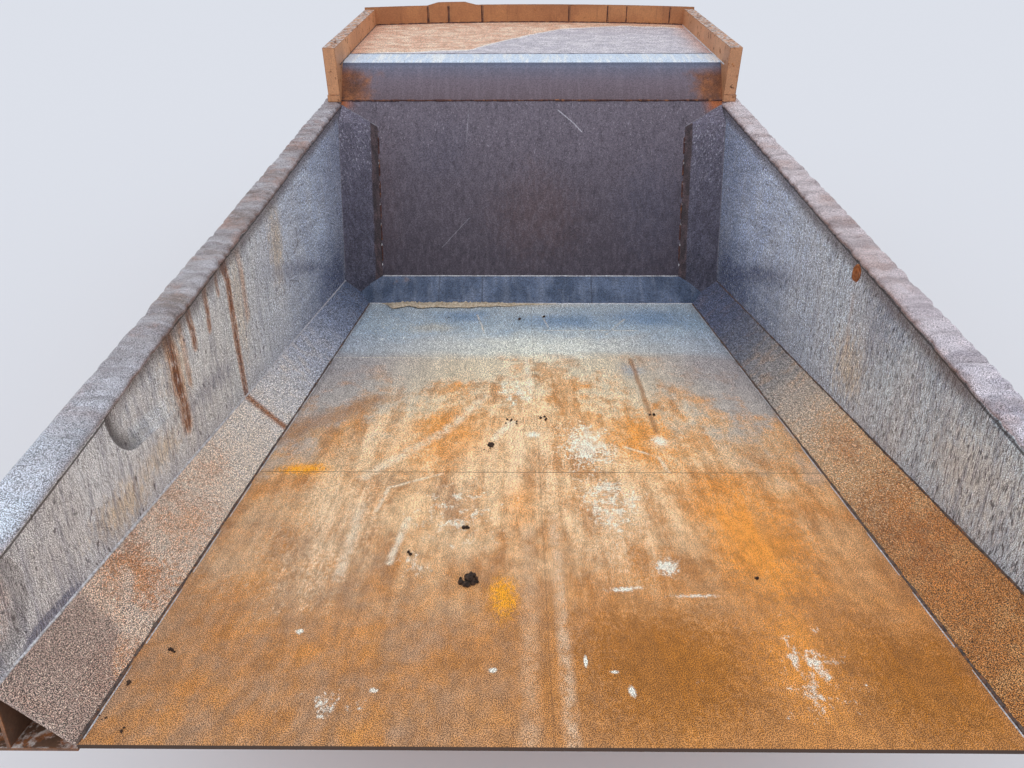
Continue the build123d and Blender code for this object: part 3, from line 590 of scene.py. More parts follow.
def wearFloorMaterial():
    look = wearFloor
    material, tree = newMaterial("wearFloor")
    place, x, along, up = placeOf(tree)
    flat = flattened(place, True)
    loose, drift = wobbleOf(flat, 3.0)
    grit = grainOf(flat, 60.0, 0.25, 0.75, 4.0, 0.75, (1, 0.6, 1)) - 0.5
    streaks = grainOf(flat, 1.0, 0.38, 0.62, 4.0, 0.66, (11, 1.3, 1), (3, 1, 0))
    clouds = grainOf(flat, 4.5, 0.34, 0.66, 6.0, 0.72, (1, 0.7, 1), (5, 2, 0))
    aside = abs(x)
    rusty = useGroup(rust, {"Place": flat, "Scale": 3.4, "Brightness": 0.05})
    colour = blend(0.55, rusty["Colour"], tone(212, 146, 82))
    # the left half is greyer, in patches
    lilac = clouds * spread(x + drift[0], 0.6, -0.7, 0.12, 0.75)
    colour = blend(lilac, colour, tone(176, 144, 122))
    # forward of the tail the rust is dusted pale, most along the middle
    patches = grainOf(flat, 3.0, 0.40, 0.60, 6.0, 0.74, (1, 0.6, 1), (9, 4, 0))
    pale = spread(along + drift[1] * 0.9, 0.4, 1.7) * spread(aside, 1.6, 0.6, 0.45, 0.95)
    pale = pale * (streaks * 0.35 + patches * 0.65)
    colour = blend(pale, colour, tone(255, 220, 182))
    # the rear plates keep their colour up to their own seam
    rearPlate = maths("LESS_THAN", along, body["rearPlate"])
    for index, (tint, streaked, rows) in enumerate(look["zones"]):
        mask = stains(flat, loose, grit, rows) * spread(streaks, 0, 1, 1 - streaked, 1.0)
        if index == 3:
            mask = mask * (1.0 - rearPlate * maths("GREATER_THAN", x, 0.5))
        colour = blend(mask, colour, tint)
    edge = along + drift[1] * 1.5 + (patches - 0.5) * 0.9 + aside * 0.6
    colour = blend(spread(edge, 2.8, 4.1) * 0.85, colour, toneRamp(shareOf(aside, 0.0, floorHalf), [
        (0.0, 246, 230, 206), (0.4, 216, 200, 182), (0.8, 172, 170, 178), (1.0, 164, 164, 176),
    ]))
    frontPlate = spread(along + drift[1] * 0.3, 3.80, 4.02)
    colour = blend(frontPlate * 0.8, colour, toneRamp(shareOf(aside, 0.0, floorHalf), [
        (0.0, 236, 234, 226), (0.5, 206, 206, 208), (1.0, 174, 182, 198),
    ]))
    # painted reflection: pale blue sky on the polished front, which is also smoother and a little metallic
    shine = spread(along + drift[0] * 0.8, 4.1, 4.75)
    colour = blend(shine * 0.8, colour, blend(patches, tone(168, 192, 216), tone(196, 212, 228)))
    colour = blend(stains(flat, loose, grit, look["blues"]), colour, tone(130, 160, 198))
    colour = blend(stains(flat, loose, grit, look["dirt"]), colour, tone(214, 204, 190))
    edges = spread(aside, floorHalf - 0.07, floorHalf) * spread(along, 1.8, 3.0, 0.15, 0.4)
    colour = blend(edges, colour, tone(96, 92, 98))
    # dull streaks run with the sliding load, and finer mottling lies over them
    mottles = grainOf(flat, 20.0, 0.34, 0.66, 4.0, 0.72, (1, 0.6, 1), (1, 6, 0))
    shade = streaks * 0.12 + mottles * 0.30
    colour = scaled(colour, shade + 0.80)
    colour = blend(marks(flat, loose, look["darkMarks"]), colour, tone(164, 116, 80))
    white = tone(250, 246, 240)
    broken = noiseOf(vectorMaths("MULTIPLY", flat, (1, 0.7, 1)), 15.0, 8.0, 0.78)
    crust = broken + stains(flat, loose, grit, look["crust"]) * 0.28
    crust = spread(crust, 0.64, 0.76) * (0.55 + mottles * 0.45)
    colour = blend(crust, colour, white)
    torn = spread(broken, 0.38, 0.60, 0.15, 1.0)
    colour = blend(marks(flat, loose, look["smears"]) * torn, colour, tone(250, 236, 220))
    colour = blend(marks(flat, loose, look["centreStreaks"]) * torn, colour, tone(238, 204, 176))
    colour = blend(marks(flat, loose, look["seams"]), colour, tone(104, 72, 50))
    colour = blend(stains(flat, loose, grit, look["dabs"]), colour, white)
    pepper = grainOf(flat, 110.0, 0.64, 0.70, 2.0, 0.5, (1, 1, 1), (2, 8, 0))
    colour = blend(pepper * spread(along, 1.5, 3.0, 0.6, 0.3), colour, tone(96, 66, 48))
    # warmer at the tail, duller where the front plate starts
    colour = blend(1.0, colour, ramp(shareOf(along, 0.0, rampEnd), look["shades"]), "MULTIPLY")
    colour = speckle(flat, colour, along, 0.85)
    # the cut rear faces are dark
    colour = blend(spread(up, -0.001, -0.004), colour, tone(74, 54, 42))
    roughness = spread(shine, 0, 1, 0.8, 0.5)
    height = grit * 0.4 + rusty["Height"] * 0.5
    return finish(material, colour, roughness, shine * 0.15, height, 0.25, 0.002, floorInward)


# side walls pushed out between the ribs; the rails' inner faces carry the same sheet up to their crowns
wallShape = {
    "step": {"left": 0.016, "right": 0.022},
    "bulge": 0.011,
    "bays": {"left": [0.4, 0.2, 0.9, 0.6, 0.5, 0.4, 0.3], "right": [0.7, 0.9, 0.8, 0.9, 0.6, 0.5, 0.3]},
    "ripple": 0.004,
    # how far the sheet may move where a rib holds it, and how much more between the ribs
    "ribLimit": 0.0105,
    "slack": 0.04,
    "ledge": {"depth": 0.008, "level": 1.27, "rise": 0.11, "start": 0.95, "run": 0.3},
    # how near the tail, the headboard and the foot the sheet is held
    "held": {"ends": 0.05, "foot": 0.04},
    "pocket": {"start": 0.945, "foot": 0.54, "round": 0.24, "rim": 0.028, "depth": 0.032, "fade": (1.25, 1.8)},
    "tailDent": {"along": 0.12, "up": 0.46, "length": 0.16, "height": 0.2, "depth": 0.009},
}


# scoured side walls: grey steel covered in short dashes square to the floor
linerSteel = {
    "tones": {
        "left": [
            (0.0, 222, 220, 216), (0.16, 240, 244, 246), (0.45, 226, 230, 230), (0.62, 214, 220, 230),
            (0.85, 196, 208, 230), (1.0, 150, 158, 182),
        ],
        "right": [
            (0.0, 218, 232, 238), (0.3, 206, 220, 230), (0.55, 212, 222, 236), (0.8, 206, 218, 244),
            (1.0, 146, 158, 188),
        ],
    },
    "crease": 1.4085,
    "warm": tone(226, 196, 146),
    "dark": tone(68, 66, 72),
    "shade": tone(112, 116, 140),
    # where the painted shade in the head's corner begins and where it is full, along the floor
    "deep": {"left": (3.0, 5.2), "right": (2.3, 4.8)},
    "drip": tone(124, 70, 30),
    "dripEdge": tone(196, 140, 88),
    "drips": {
        "left": [
            (((2.47, 1.11), (2.475, 1.0), (2.505, 0.23)), 0.06, 0.9, 0.012, 1.0),
            (((1.89, 1.03), (1.9, 0.78)), 0.055, 0.9, 0.02, 0.9),
            (((1.63, 0.97), (1.655, 0.66), (1.665, 0.42)), 0.085, 0.95, 0.03, 0.95),
            (((2.14, 1.06), (2.13, 0.8)), 0.05, 0.95, 0.02, 0.75),
            (((2.32, 1.08), (2.32, 0.95)), 0.04, 0.95, 0.02, 0.6),
            (((2.7, 1.1), (2.71, 0.7)), 0.08, 0.95, 0.03, 0.45),
            (((1.76, 0.98), (1.77, 0.62)), 0.05, 0.95, 0.03, 0.5),
        ],
        "right": [(((2.45, 0.9), (2.42, 0.55)), 0.05, 0.95, 0.05, 0.25)],
    },
    "dripHeads": {"left": [((2.465, 1.07), (0.085, 0.075), 0.8, 0.05, 0.6, 1.0)], "right": []},
    "warmStains": {
        "left": [
            ((0.95, 0.36), (0.35, 0.12), 0.9, 0.2, 0.9, 0.6), ((1.35, 0.4), (0.35, 0.12), 0.9, 0.2, 0.9, 0.5),
            ((3.45, 1.0), (0.22, 0.45), 0.95, 0.2, 0.9, 0.6), ((1.65, 0.75), (0.18, 0.4), 0.95, 0.2, 0.9, 0.5),
            ((2.6, 0.8), (0.15, 0.5), 0.95, 0.2, 0.9, 0.4),
        ],
        "right": [((2.35, 0.5), (0.32, 0.3), 0.95, 0.3, 0.9, 0.6), ((1.0, 0.5), (0.5, 0.3), 0.95, 0.3, 0.9, 0.3)],
    },
    "shades": {
        "left": [
            ((4.1, 0.68), (1.3, 0.09), 0.95, 0.1, 0.8, 0.75, 11), ((2.0, 0.5), (0.7, 0.1), 0.95, 0.15, 0.8, 0.5),
            ((0.36, 0.24), (0.22, 0.05), 0.3, 0.05, 0.3, 0.7),
        ],
        "right": [
            ((4.2, 0.6), (1.3, 0.14), 0.95, 0.1, 0.8, 0.85, 12), ((2.0, 0.85), (0.5, 0.3), 0.95, 0.3, 0.9, 0.55),
            ((1.2, 0.85), (0.5, 0.16), 0.95, 0.2, 0.9, 0.4),
        ],
    },
    "hooks": {
        "left": [
            (((3.99, 1.02), (3.98, 0.9), (3.86, 0.85)), 0.008, 0.8, 0.01, 0.9),
            (((3.66, 0.9), (3.7, 0.83)), 0.016, 0.9, 0.02, 0.7), (((3.66, 0.69), (3.9, 0.62)), 0.007, 0.8, 0.01, 0.8),
            (((4.02, 1.38), (3.97, 1.28)), 0.008, 0.8, 0.02, 0.7),
        ],
        "right": [(((4.36, 1.32), (4.3, 1.25)), 0.007, 0.8, 0.01, 0.6)],
    },
}


# painted shade: the dark crescent at the rear end and foot of the big dent
def dentRimShade(along, up):
    dent = wallShape["pocket"]
    reach = dent["round"]
    behind = maths("MINIMUM", along - (dent["start"] + reach), 0.0)
    below = maths("MINIMUM", up - (dent["foot"] + reach), 0.0)
    far = (behind * behind + below * below) ** 0.5
    inside = reach - far
    ring = spread(inside, 0.0, 0.006) * spread(inside, 0.12, 0.03)
    return ring * spread(along, 1.40, 1.0, 0.0, 1.0)


def linerMaterial(hand, side):
    look = linerSteel
    material, tree = newMaterial(f"scouredWall_{hand}")
    place, _, along, up = placeOf(tree)
    flat = flattened(place, False)
    loose, drift = wobbleOf(flat, 2.6)
    grit = grainOf(flat, 1.0, 0.25, 0.75, 4.0, 0.75, (1, 34, 18)) - 0.5
    edge = along + drift[1] * 1.6
    colour = toneRamp(shareOf(edge, 0.0, rampEnd), look["tones"][hand])
    clouds = grainOf(flat, 2.4, 0.40, 0.66, 5.0, 0.66, (1, 1.2, 0.5))
    colour = blend(clouds * 0.35, colour, tone(224, 222, 220))
    colour = blend(stains(flat, loose, grit, look["warmStains"][hand], True), colour, look["warm"])
    colour = blend(stains(flat, loose, grit, look["shades"][hand], True), colour, look["shade"])
    # streaks stand square to the floor at the rear and lie along it at the front
    standing = grainOf(flat, 1.0, 0.44, 0.66, 5.0, 0.66, (1, 22, 2.2))
    lying = grainOf(flat, 1.0, 0.36, 0.72, 5.0, 0.66, (1, 1.8, 13), (0, 4, 4))
    turn = spread(along, 2.6, 4.2)
    dusk = standing * (1.0 - turn) + lying * turn
    colour = blend(dusk * 0.48, colour, look["shade"])
    # painted shade: the wall darkens forwards and down, into the head's corner
    deep = spread(along + drift[1] * 0.8, *look["deep"][hand]) * spread(up + drift[2] * 0.3, 0.95, 0.35)
    colour = blend(deep * (0.95 - clouds * 0.3), colour, tone(70, 80, 112))
    drips = marks(flat, loose, look["drips"][hand], True)
    if look["dripHeads"][hand]:
        drips = strongest([drips, stains(flat, loose, grit, look["dripHeads"][hand], True)])
    runs = grainOf(flat, 1.0, 0.35, 0.60, 5.0, 0.6, (1, 90, 5), (0, 9, 1))
    drips = drips * (0.55 + runs * 0.55)
    colour = blend(spread(drips, 0.0, 0.6, 0, 0.7), colour, look["dripEdge"])
    colour = blend(spread(drips, 0.45, 0.9), colour, look["drip"])
    colour = blend(marks(flat, loose, look["hooks"][hand], True), colour, look["dark"])
    foot = spread(up + drift[2] * 0.15, 0.36, 0.23)
    colour = blend(foot * 0.22, colour, look["shade"])
    if hand == "left":
        # the small dent by the tail: a painted shade ring on its rim, pinkish inside
        rim = stains(flat, loose, grit, [((0.12, 0.46), (0.165, 0.20), 0.10, 0.0, 0.1, 1.0)], True)
        inner = stains(flat, loose, grit, [((0.09, 0.47), (0.135, 0.18), 0.35, 0.0, 0.1, 1.0)], True)
        rim = clamped(rim - inner)
        colour = blend(inner * 0.55, colour, tone(176, 152, 138))
    dashes = strongest([
        grainOf(flat, 1.0, 0.53, 0.60, 3.0, 0.6, (1, 125, 19), (0, 7, 2)),
        grainOf(flat, 1.0, 0.56, 0.63, 3.0, 0.6, (1, 80, 9), (0, 2, 5)) * 0.7,
    ])
    dots = grainOf(flat, 30.0, 0.65, 0.69, 2.0, 0.5, (1, 1, 0.6), (0, 5, 5))
    thick = 0.88 if hand == "right" else 0.55
    colour = blend(dashes * spread(along, 2.5, 4.5, thick, thick * 0.7), colour, look["dark"])
    paleDashes = grainOf(flat, 1.0, 0.54, 0.62, 3.0, 0.6, (1, 120, 20), (0, 3, 9))
    colour = blend(paleDashes * 0.5, colour, tone(250, 250, 250))
    colour = blend(dots * 0.75, colour, look["dark"])
    if hand == "left":
        # painted shade on the small dent's rim
        colour = blend(rim * 0.45, colour, tone(92, 76, 72))
        colour = blend(dentRimShade(along, up) * 0.82, colour, tone(62, 56, 58))
    # painted shade under the rail's round
    raw = objectPlace(tree)
    level = split(raw)[2]
    ragged = level + drift[2] * 0.05
    underRailShade = spread(ragged, 1.30, 1.385) * spread(along, 0.85, 1.3, 0.10, 1.0)
    colour = blend(underRailShade * 0.68, colour, tone(96, 80, 76))
    # a thin painted dark shade line in the crease just below the rail's round
    crease = spread(abs(level - look["crease"]), 0.009, 0.002)
    colour = blend(crease * 0.85, colour, tone(58, 48, 46))
    colour = speckle(flat, colour, along, 1.1)
    roughness = spread(clouds, 0, 1, 0.66, 0.54)
    metallic = spread(drips, 0.2, 0.6, 0.12, 0.0)
    height = grit + (dashes + dusk * 0.5)
    return finish(material, colour, roughness, metallic, height, 0.3, 0.003, (-side, 0, 0))


cornerSteel = {
    "tones": {
        "left": [
            (0.0, 186, 164, 150), (0.12, 216, 184, 160), (0.34, 222, 204, 186), (0.46, 214, 208, 204),
            (0.62, 184, 186, 196), (0.78, 140, 148, 168), (1.0, 86, 100, 128),
        ],
        "right": [
            (0.0, 176, 116, 62), (0.24, 180, 122, 72), (0.36, 204, 158, 118), (0.46, 200, 174, 154),
            (0.56, 164, 152, 144), (0.7, 130, 128, 132), (0.85, 94, 98, 118),
        ],
    },
    "rustSpots": {
        "left": [
            ((0.82, 0.55), (0.3, 0.84), 0.9, 0.3, 1.1, 0.85), ((0.3, 0.165), (0.25, 0.35), 0.9, 0.2, 1.1, 0.75),
            ((1.25, 0.495), (0.35, 0.7), 0.9, 0.3, 1.2, 0.5), ((0.04, 0.44), (0.05, 0.56), 0.9, 0.1, 0.8, 0.6),
            ((1.7, 0.66), (0.3, 0.42), 0.9, 0.3, 1.2, 0.4),
        ],
        "right": [((1.1, 0.495), (0.6, 0.7), 0.9, 0.3, 1.1, 0.8), ((2.0, 0.55), (0.5, 0.42), 0.9, 0.3, 1.2, 0.7)],
    },
    "dark": tone(58, 50, 50),
}


def cornerMaterial(hand, side):
    look = cornerSteel
    material, tree = newMaterial(f"cornerPlate_{hand}")
    place, _, along, up = placeOf(tree)
    # the plate leans 45 degrees, so along and up are enough to lay it out
    flat = flattened(place, False)
    loose, drift = wobbleOf(place, 3.0)
    grit = grainOf(place, 40.0, 0.25, 0.75, 4.0, 0.75) - 0.5
    edge = along + drift[1] * 1.2 + grit * 0.5
    colour = toneRamp(shareOf(edge, 0.0, rampEnd), look["tones"][hand])
    rusty = useGroup(rust, {"Place": place, "Scale": 5.0, "Brightness": 0.02})["Colour"]
    squeezed = vectorMaths("MULTIPLY", place, (0, 1, 4))
    spots = stains(squeezed, loose, grit, look["rustSpots"][hand], True)
    colour = blend(spots, colour, rusty)
    patches = grainOf(place, 6.0, 0.48, 0.62, 6.0, 0.75)
    paler = tone(214, 200, 186) if hand == "left" else tone(206, 160, 120)
    colour = blend(patches * spread(along, 4.4, 2.8, 0.1, 0.55), colour, paler)
    if hand == "left":
        run = marks(flat, loose, [(((2.50, 0.23), (2.50, -0.1)), 0.060, 0.9, 0.03, 1.0)], True)
        colour = blend(run, colour, tone(150, 90, 48))
        patch = along + drift[1] * 0.25
        patch = spread(patch + spread(up, 0.10, 0.0) * 0.25, 0.56, 0.50)
        colour = blend(patch * 0.75, colour, tone(168, 142, 130))
    specks = grainOf(place, 190.0, 0.53, 0.62, 3.0, 0.7, (1, 1, 1), (4, 2, 7))
    colour = blend(specks * spread(along, 3.0, 4.5, 0.62, 0.3), colour, look["dark"])
    flecks = grainOf(place, 150.0, 0.52, 0.62, 4.0, 0.7, (1, 1, 1), (9, 1, 2))
    if hand == "left":
        fleckShare = spread(along, 3.6, 2.6, 0.15, 0.60)
    else:
        fleckShare = spread(along, 0.9, 1.7, 0.2, 0.75) * spread(along, 4.0, 3.0, 0.15, 1.0)
    colour = blend(flecks * fleckShare, colour, tone(250, 236, 214))
    if hand == "left":
        colour = blend(patch * 0.22, colour, tone(132, 108, 98))
    else:
        colour = blend(1.0, colour, ramp(shareOf(along, 0.0, rampEnd), [
            (0.0, (1.0, 0.93, 0.66, 1)), (0.4, (1.0, 1.02, 0.95, 1)), (0.6, (0.76, 0.8, 0.86, 1)),
            (1.0, (0.92, 1.0, 1.1, 1)),
        ]), "MULTIPLY")
    colour = speckle(place, colour, along, 1.15)
    roughness = spread(patches, 0, 1, 0.65, 0.8)
    metallic = spread(along, 2.6, 4.6, 0.0, 0.2)
    inward = (-side * cos(radians(45)), sin(body["slope"]) * 0.7, cos(body["slope"]) * 0.7)
    return finish(material, colour, roughness, metallic, grit + specks, 0.35, 0.003, inward)


# the headboard's dark steel
headSteel = {
    "low": tone(74, 66, 76),
    "high": tone(110, 102, 114),
    "rusty": tone(98, 72, 68),
    "scratches": [
        (((0.26, 1.38), (0.4, 1.28), (0.5, 1.19)), 0.007, 0.8, 0.01, 0.85),
        (((-0.62, 1.35), (-0.64, 1.1)), 0.006, 0.9, 0.03, 0.35),
        (((-0.9, 0.15), (-0.62, 0.42)), 0.006, 0.9, 0.02, 0.25),
    ],
}
headInward = (0, -cos(body["headLean"]), sin(body["headLean"]))


def headboardMaterial():
    look = headSteel
    material, tree = newMaterial("headboardSteel")
    raw = objectPlace(tree)
    parts = split(raw)
    loose, drift = wobbleOf(raw, 2.0, 7.0)
    level = parts[2] + drift[2] * 0.9
    colour = ramp(spread(level, -0.2, 1.5), [(0.0, look["low"]), (1.0, look["high"])])
    front = put("ShaderNodeCombineXYZ", {0: parts[0], 1: parts[2]})
    grit = grainOf(raw, 1.0, 0.25, 0.75, 6.0, 0.7, (40, 40, 9)) - 0.5
    warm = stains(front, loose, grit, [
        ((0.05, 0.45), (0.7, 0.6), 0.95, 0.6, 0.6, 0.4), ((-1.5, 0.6), (0.3, 0.9), 0.95, 0.3, 0.6, 0.25),
    ])
    colour = blend(warm, colour, look["rusty"])
    bluish = stains(front, loose, grit, [
        ((1.2, 0.5), (0.5, 0.8), 0.95, 0.5, 0.6, 0.35), ((-0.9, 1.0), (0.5, 0.4), 0.95, 0.5, 0.6, 0.25),
    ])
    colour = blend(bluish, colour, tone(84, 86, 106))
    fall = grainOf(raw, 1.0, 0.42, 0.66, 6.0, 0.6, (24, 24, 1.6))
    colour = blend(fall * 0.22, colour, tone(128, 118, 130))
    darker = grainOf(raw, 1.0, 0.5, 0.7, 6.0, 0.6, (20, 20, 1.2), (5, 5, 1))
    colour = blend(darker * 0.35, colour, tone(52, 46, 56))
    dashes = grainOf(raw, 1.0, 0.57, 0.68, 3.0, 0.6, (80, 80, 20), (1, 1, 3))
    band = spread(level, 0.75, 1.2) * spread(level, 1.6, 1.3, 0.5, 1.0)
    colour = blend(dashes * spread(band, 0, 1, 0.10, 0.50), colour, tone(168, 160, 172))
    colour = blend(marks(front, loose, look["scratches"]), colour, tone(196, 194, 204))
    # rust that runs down from the seam's ends
    corner = abs(parts[0]) + drift[0] * 0.5
    ends = spread(corner, 1.66, 1.84) * spread(parts[2], seamZ - 0.16, seamZ - 0.02)
    colour = blend(ends, colour, tone(176, 100, 56))
    colour = speckle(raw, colour, 4.0, 0.30)
    roughness = spread(fall, 0, 1, 0.62, 0.5)
    return finish(material, colour, roughness, 0.2, grit + dashes, 0.2, 0.002, headInward)


def kneeMaterial():
    material, tree = newMaterial("kneeSteel")
    raw = objectPlace(tree)
    parts = split(raw)
    drift = wobbleOf(raw, 5.0, 7.0)[1]
    level = parts[2] + drift[2] * 0.05
    colour = toneRamp(shareOf(level, seamZ, canopyTop), [
        (0.0, 92, 76, 84), (0.5, 102, 90, 102), (0.8, 98, 96, 114), (0.97, 112, 120, 142),
    ])
    streaks = grainOf(raw, 1.0, 0.45, 0.66, 6.0, 0.6, (20, 2, 2))
    colour = blend(streaks * 0.12, colour, tone(150, 138, 150))
    # the flat part by the canopy carries a painted near-white highlight of the bend, with a thin painted dark shade
    # line where the bend starts
    edge = spread(parts[1], canopyLow.y - 0.372, canopyLow.y - 0.362)
    line = spread(parts[1], canopyLow.y - 0.42, canopyLow.y - 0.39) * (1.0 - edge)
    colour = blend(line * 0.45, colour, tone(66, 72, 96))
    bendHighlight = edge * spread(parts[2], canopyTop - 0.03, canopyTop - 0.01)
    colour = blend(bendHighlight, colour, blend(streaks, tone(206, 220, 236), tone(236, 240, 240)))
    sides = abs(parts[0]) + drift[0] * 0.9
    rusty = useGroup(rust, {"Place": raw, "Scale": 6.0, "Brightness": -0.10})["Colour"]
    ends = spread(sides, 1.50, 1.86) * spread(level, canopyTop - 0.02, canopyTop - 0.12)
    colour = blend(ends * 0.85, colour, rusty)
    colour = speckle(raw, colour, 4.0, 0.22)
    fine = grainOf(raw, 120.0, 0.30, 0.70, 2.0, 0.6)
    roughness = spread(ends, 0, 1, 0.45, 0.75)
    return finish(material, colour, roughness, 0.2, fine, 0.15, 0.0015, headInward)


def canopyMaterial():
    material, tree = newMaterial("canopySteel")
    raw = objectPlace(tree)
    parts = split(raw)
    drift = wobbleOf(raw, 3.0, 7.0)[1]
    # the border between the rusty left and the grey right runs forward as it goes right
    border = ramp(shareOf(parts[0], -innerHalf, innerHalf), [
        (share, (level, level, level, 1))
        for share, level in ((0.0, 0.0), (0.32, 0.10), (0.45, 0.45), (0.60, 0.75), (0.80, 0.85), (1.0, 0.78))
    ])
    border = border * (canopyHigh.y - canopyLow.y) + canopyLow.y
    past = parts[1] - border + drift[1] * 0.22
    streaks = grainOf(raw, 1.0, 0.4, 0.64, 6.0, 0.62, (6, 9, 1))
    warm = toneRamp(streaks, [(0.0, 214, 168, 140), (0.5, 226, 188, 162), (1.0, 236, 208, 182)])
    cool = toneRamp(streaks, [(0.0, 186, 180, 188), (1.0, 214, 208, 212)])
    colour = blend(spread(past, -0.05, 0.05), cool, warm)
    rim = spread(abs(past), 0.045, 0.0) * 0.8
    colour = blend(rim, colour, tone(244, 240, 232))
    aside = abs(parts[0]) + drift[0] * 0.3
    colour = blend(spread(aside, 1.6, 1.9) * 0.5, colour, tone(206, 150, 122))
    colour = speckle(raw, colour, 4.0, 0.40)
    fine = grainOf(raw, 90.0, 0.30, 0.70, 3.0, 0.65)
    roughness = spread(past, -0.1, 0.1, 0.5, 0.68)
    return finish(material, colour, roughness, 0.08, fine, 0.2, 0.0015, (0, 0, 1))


# blue-grey fillet with upright joints and paler blotches; its front is painted
def filletMaterial():
    material, tree = newMaterial("filletSteel")
    raw = objectPlace(tree)
    across = split(raw)[0]
    broad = grainOf(raw, 4.0, 0.36, 0.64, 8.0, 0.66)
    colour = blend(broad, tone(60, 74, 98), tone(86, 100, 126))
    falls = grainOf(raw, 1.0, 0.46, 0.66, 6.0, 0.62, (14, 3, 3))
    colour = blend(falls * 0.35, colour, tone(126, 134, 152))
    rusty = grainOf(raw, 5.0, 0.62, 0.74, 7.0, 0.7, (1, 1, 1), (7, 3, 5))
    colour = blend(rusty * 0.5, colour, tone(128, 104, 92))
    for place in (-0.93, -0.49, 0.62):
        joint = spread(abs(across - place), 0.011, 0.004)
        colour = blend(joint * 0.55, colour, tone(44, 50, 66))
    colour = speckle(raw, colour, 4.0, 0.40)
    fine = grainOf(raw, 120.0, 0.3, 0.7, 3.0, 0.65)
    roughness = spread(broad, 0, 1, 0.55, 0.42)
    return finish(material, colour, roughness, 0.2, fine, 0.25, 0.002, headInward)


# dark at the foot, scoured pale at the top, with a brown inner return
gussetLow, gussetHigh = (Vector(corner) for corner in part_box("corner_gusset_right"))


def gussetMaterial():
    material, tree = newMaterial("gussetSteel")
    raw = objectPlace(tree)
    parts = split(raw)
    broad = grainOf(raw, 5.0, 0.34, 0.66, 8.0, 0.66)
    level = parts[2] + (broad - 0.5) * 0.35
    colour = toneRamp(shareOf(level, gussetLow.z, gussetHigh.z), [
        (0.0, 56, 54, 70), (0.35, 72, 68, 84), (0.7, 88, 84, 100), (1.0, 104, 98, 114),
    ])
    fall = grainOf(raw, 1.0, 0.42, 0.64, 6.0, 0.62, (22, 22, 2))
    colour = blend(fall * 0.30, colour, tone(122, 120, 140))
    dashes = grainOf(raw, 1.0, 0.55, 0.64, 3.0, 0.6, (70, 70, 22), (2, 5, 1))
    colour = blend(dashes * spread(level, 0.5, 1.2, 0.08, 0.55), colour, tone(186, 184, 198))
    inner = abs(parts[0]) + (broad - 0.5) * 0.01
    returned = spread(inner, gussetLow.x + 0.075, gussetLow.x + 0.06)
    colour = blend(returned, colour, blend(fall, tone(54, 42, 48), tone(84, 66, 70)))
    colour = speckle(raw, colour, 4.0, 0.45)
    fine = grainOf(raw, 120.0, 0.3, 0.7, 3.0, 0.65)
    return finish(material, colour, spread(broad, 0, 1, 0.62, 0.5), 0.0, fine + dashes, 0.25, 0.002)


# battered rails: lilac grey, wrinkled across, bluer and smoother at the left rear, where the pale blue is partly a
# painted sheen
railSteel = {
    "tones": {
        "left": [
            (0.0, 214, 224, 238), (0.13, 178, 182, 190), (0.22, 146, 140, 142), (0.32, 132, 118, 110),
            (0.6, 136, 122, 118), (1.0, 144, 134, 138),
        ],
        "right": [(0.0, 186, 188, 202), (0.22, 180, 174, 184), (0.4, 184, 168, 168), (1.0, 188, 176, 178)],
    },
    "pale": {"left": tone(206, 206, 214), "right": tone(228, 218, 222)},
    "rusty": {"left": 0.55, "right": 0.3},
    "dark": tone(92, 76, 72),
    "brown": tone(128, 98, 88),
}


def railMaterial(hand):
    look = railSteel
    material, tree = newMaterial(f"batteredRail_{hand}")
    along = placeOf(tree)[2]
    raw = objectPlace(tree)
    _, y, z = split(raw)
    colour = toneRamp(shareOf(y, railLow.y, railHigh.y), look["tones"][hand])
    broad = grainOf(raw, 2.6, 0.36, 0.64, 5.0, 0.66)
    colour = blend(broad * 0.40, colour, look["pale"][hand])
    wrinkles = grainOf(raw, 1.0, 0.40, 0.64, 4.0, 0.62, (5, 16, 5), (2, 2, 2))
    colour = blend(wrinkles * 0.35, colour, look["pale"][hand])
    scars = grainOf(raw, 1.0, 0.56, 0.70, 5.0, 0.7, (8, 20, 8), (8, 1, 4))
    colour = blend(scars * spread(y, -1.2, -0.2, 0.12, 0.42), colour, look["dark"])
    # painted shade in the folds across the rail
    folds = grainOf(raw, 1.0, 0.50, 0.60, 2.0, 0.5, (1.5, 8.5, 1.5), (3, 5, 1))
    colour = blend(folds * spread(y, -1.3, -0.6, 0.05, 0.34), colour, tone(104, 90, 90))
    rusty = grainOf(raw, 3.0, 0.48, 0.66, 6.0, 0.72, (1, 1, 1), (6, 6, 1))
    rusty = rusty * (spread(y, -0.9, -0.3, 0.15, 1.0) if hand == "left" else 1.0)
    colour = blend(rusty * look["rusty"][hand], colour, tone(170, 130, 112))
    # painted shade, in brown, along the crown's lower edge
    edge = z + wrinkles * 0.006
    low = spread(edge, crownStart + 0.022, crownStart) * spread(y, -0.9, -0.4, 0.2, 0.85)
    colour = blend(low, colour, look["brown"])
    specks = grainOf(raw, 70.0, 0.60, 0.68, 3.0, 0.6, (1, 1, 1), (3, 8, 3))
    colour = blend(specks * 0.20, colour, look["dark"])
    colour = speckle(raw, colour, along * 0.6, spread(y, -1.2, 1.0, 0.85, 0.45))
    fine = grainOf(raw, 110.0, 0.32, 0.68, 3.0, 0.7)
    roughness = spread(broad, 0, 1, 0.62, 0.5)
    metallic = spread(rusty, 0, 1, 0.2, 0.05)
    return finish(material, colour, roughness, metallic, fine * 0.4 + wrinkles, 0.3, 0.003)


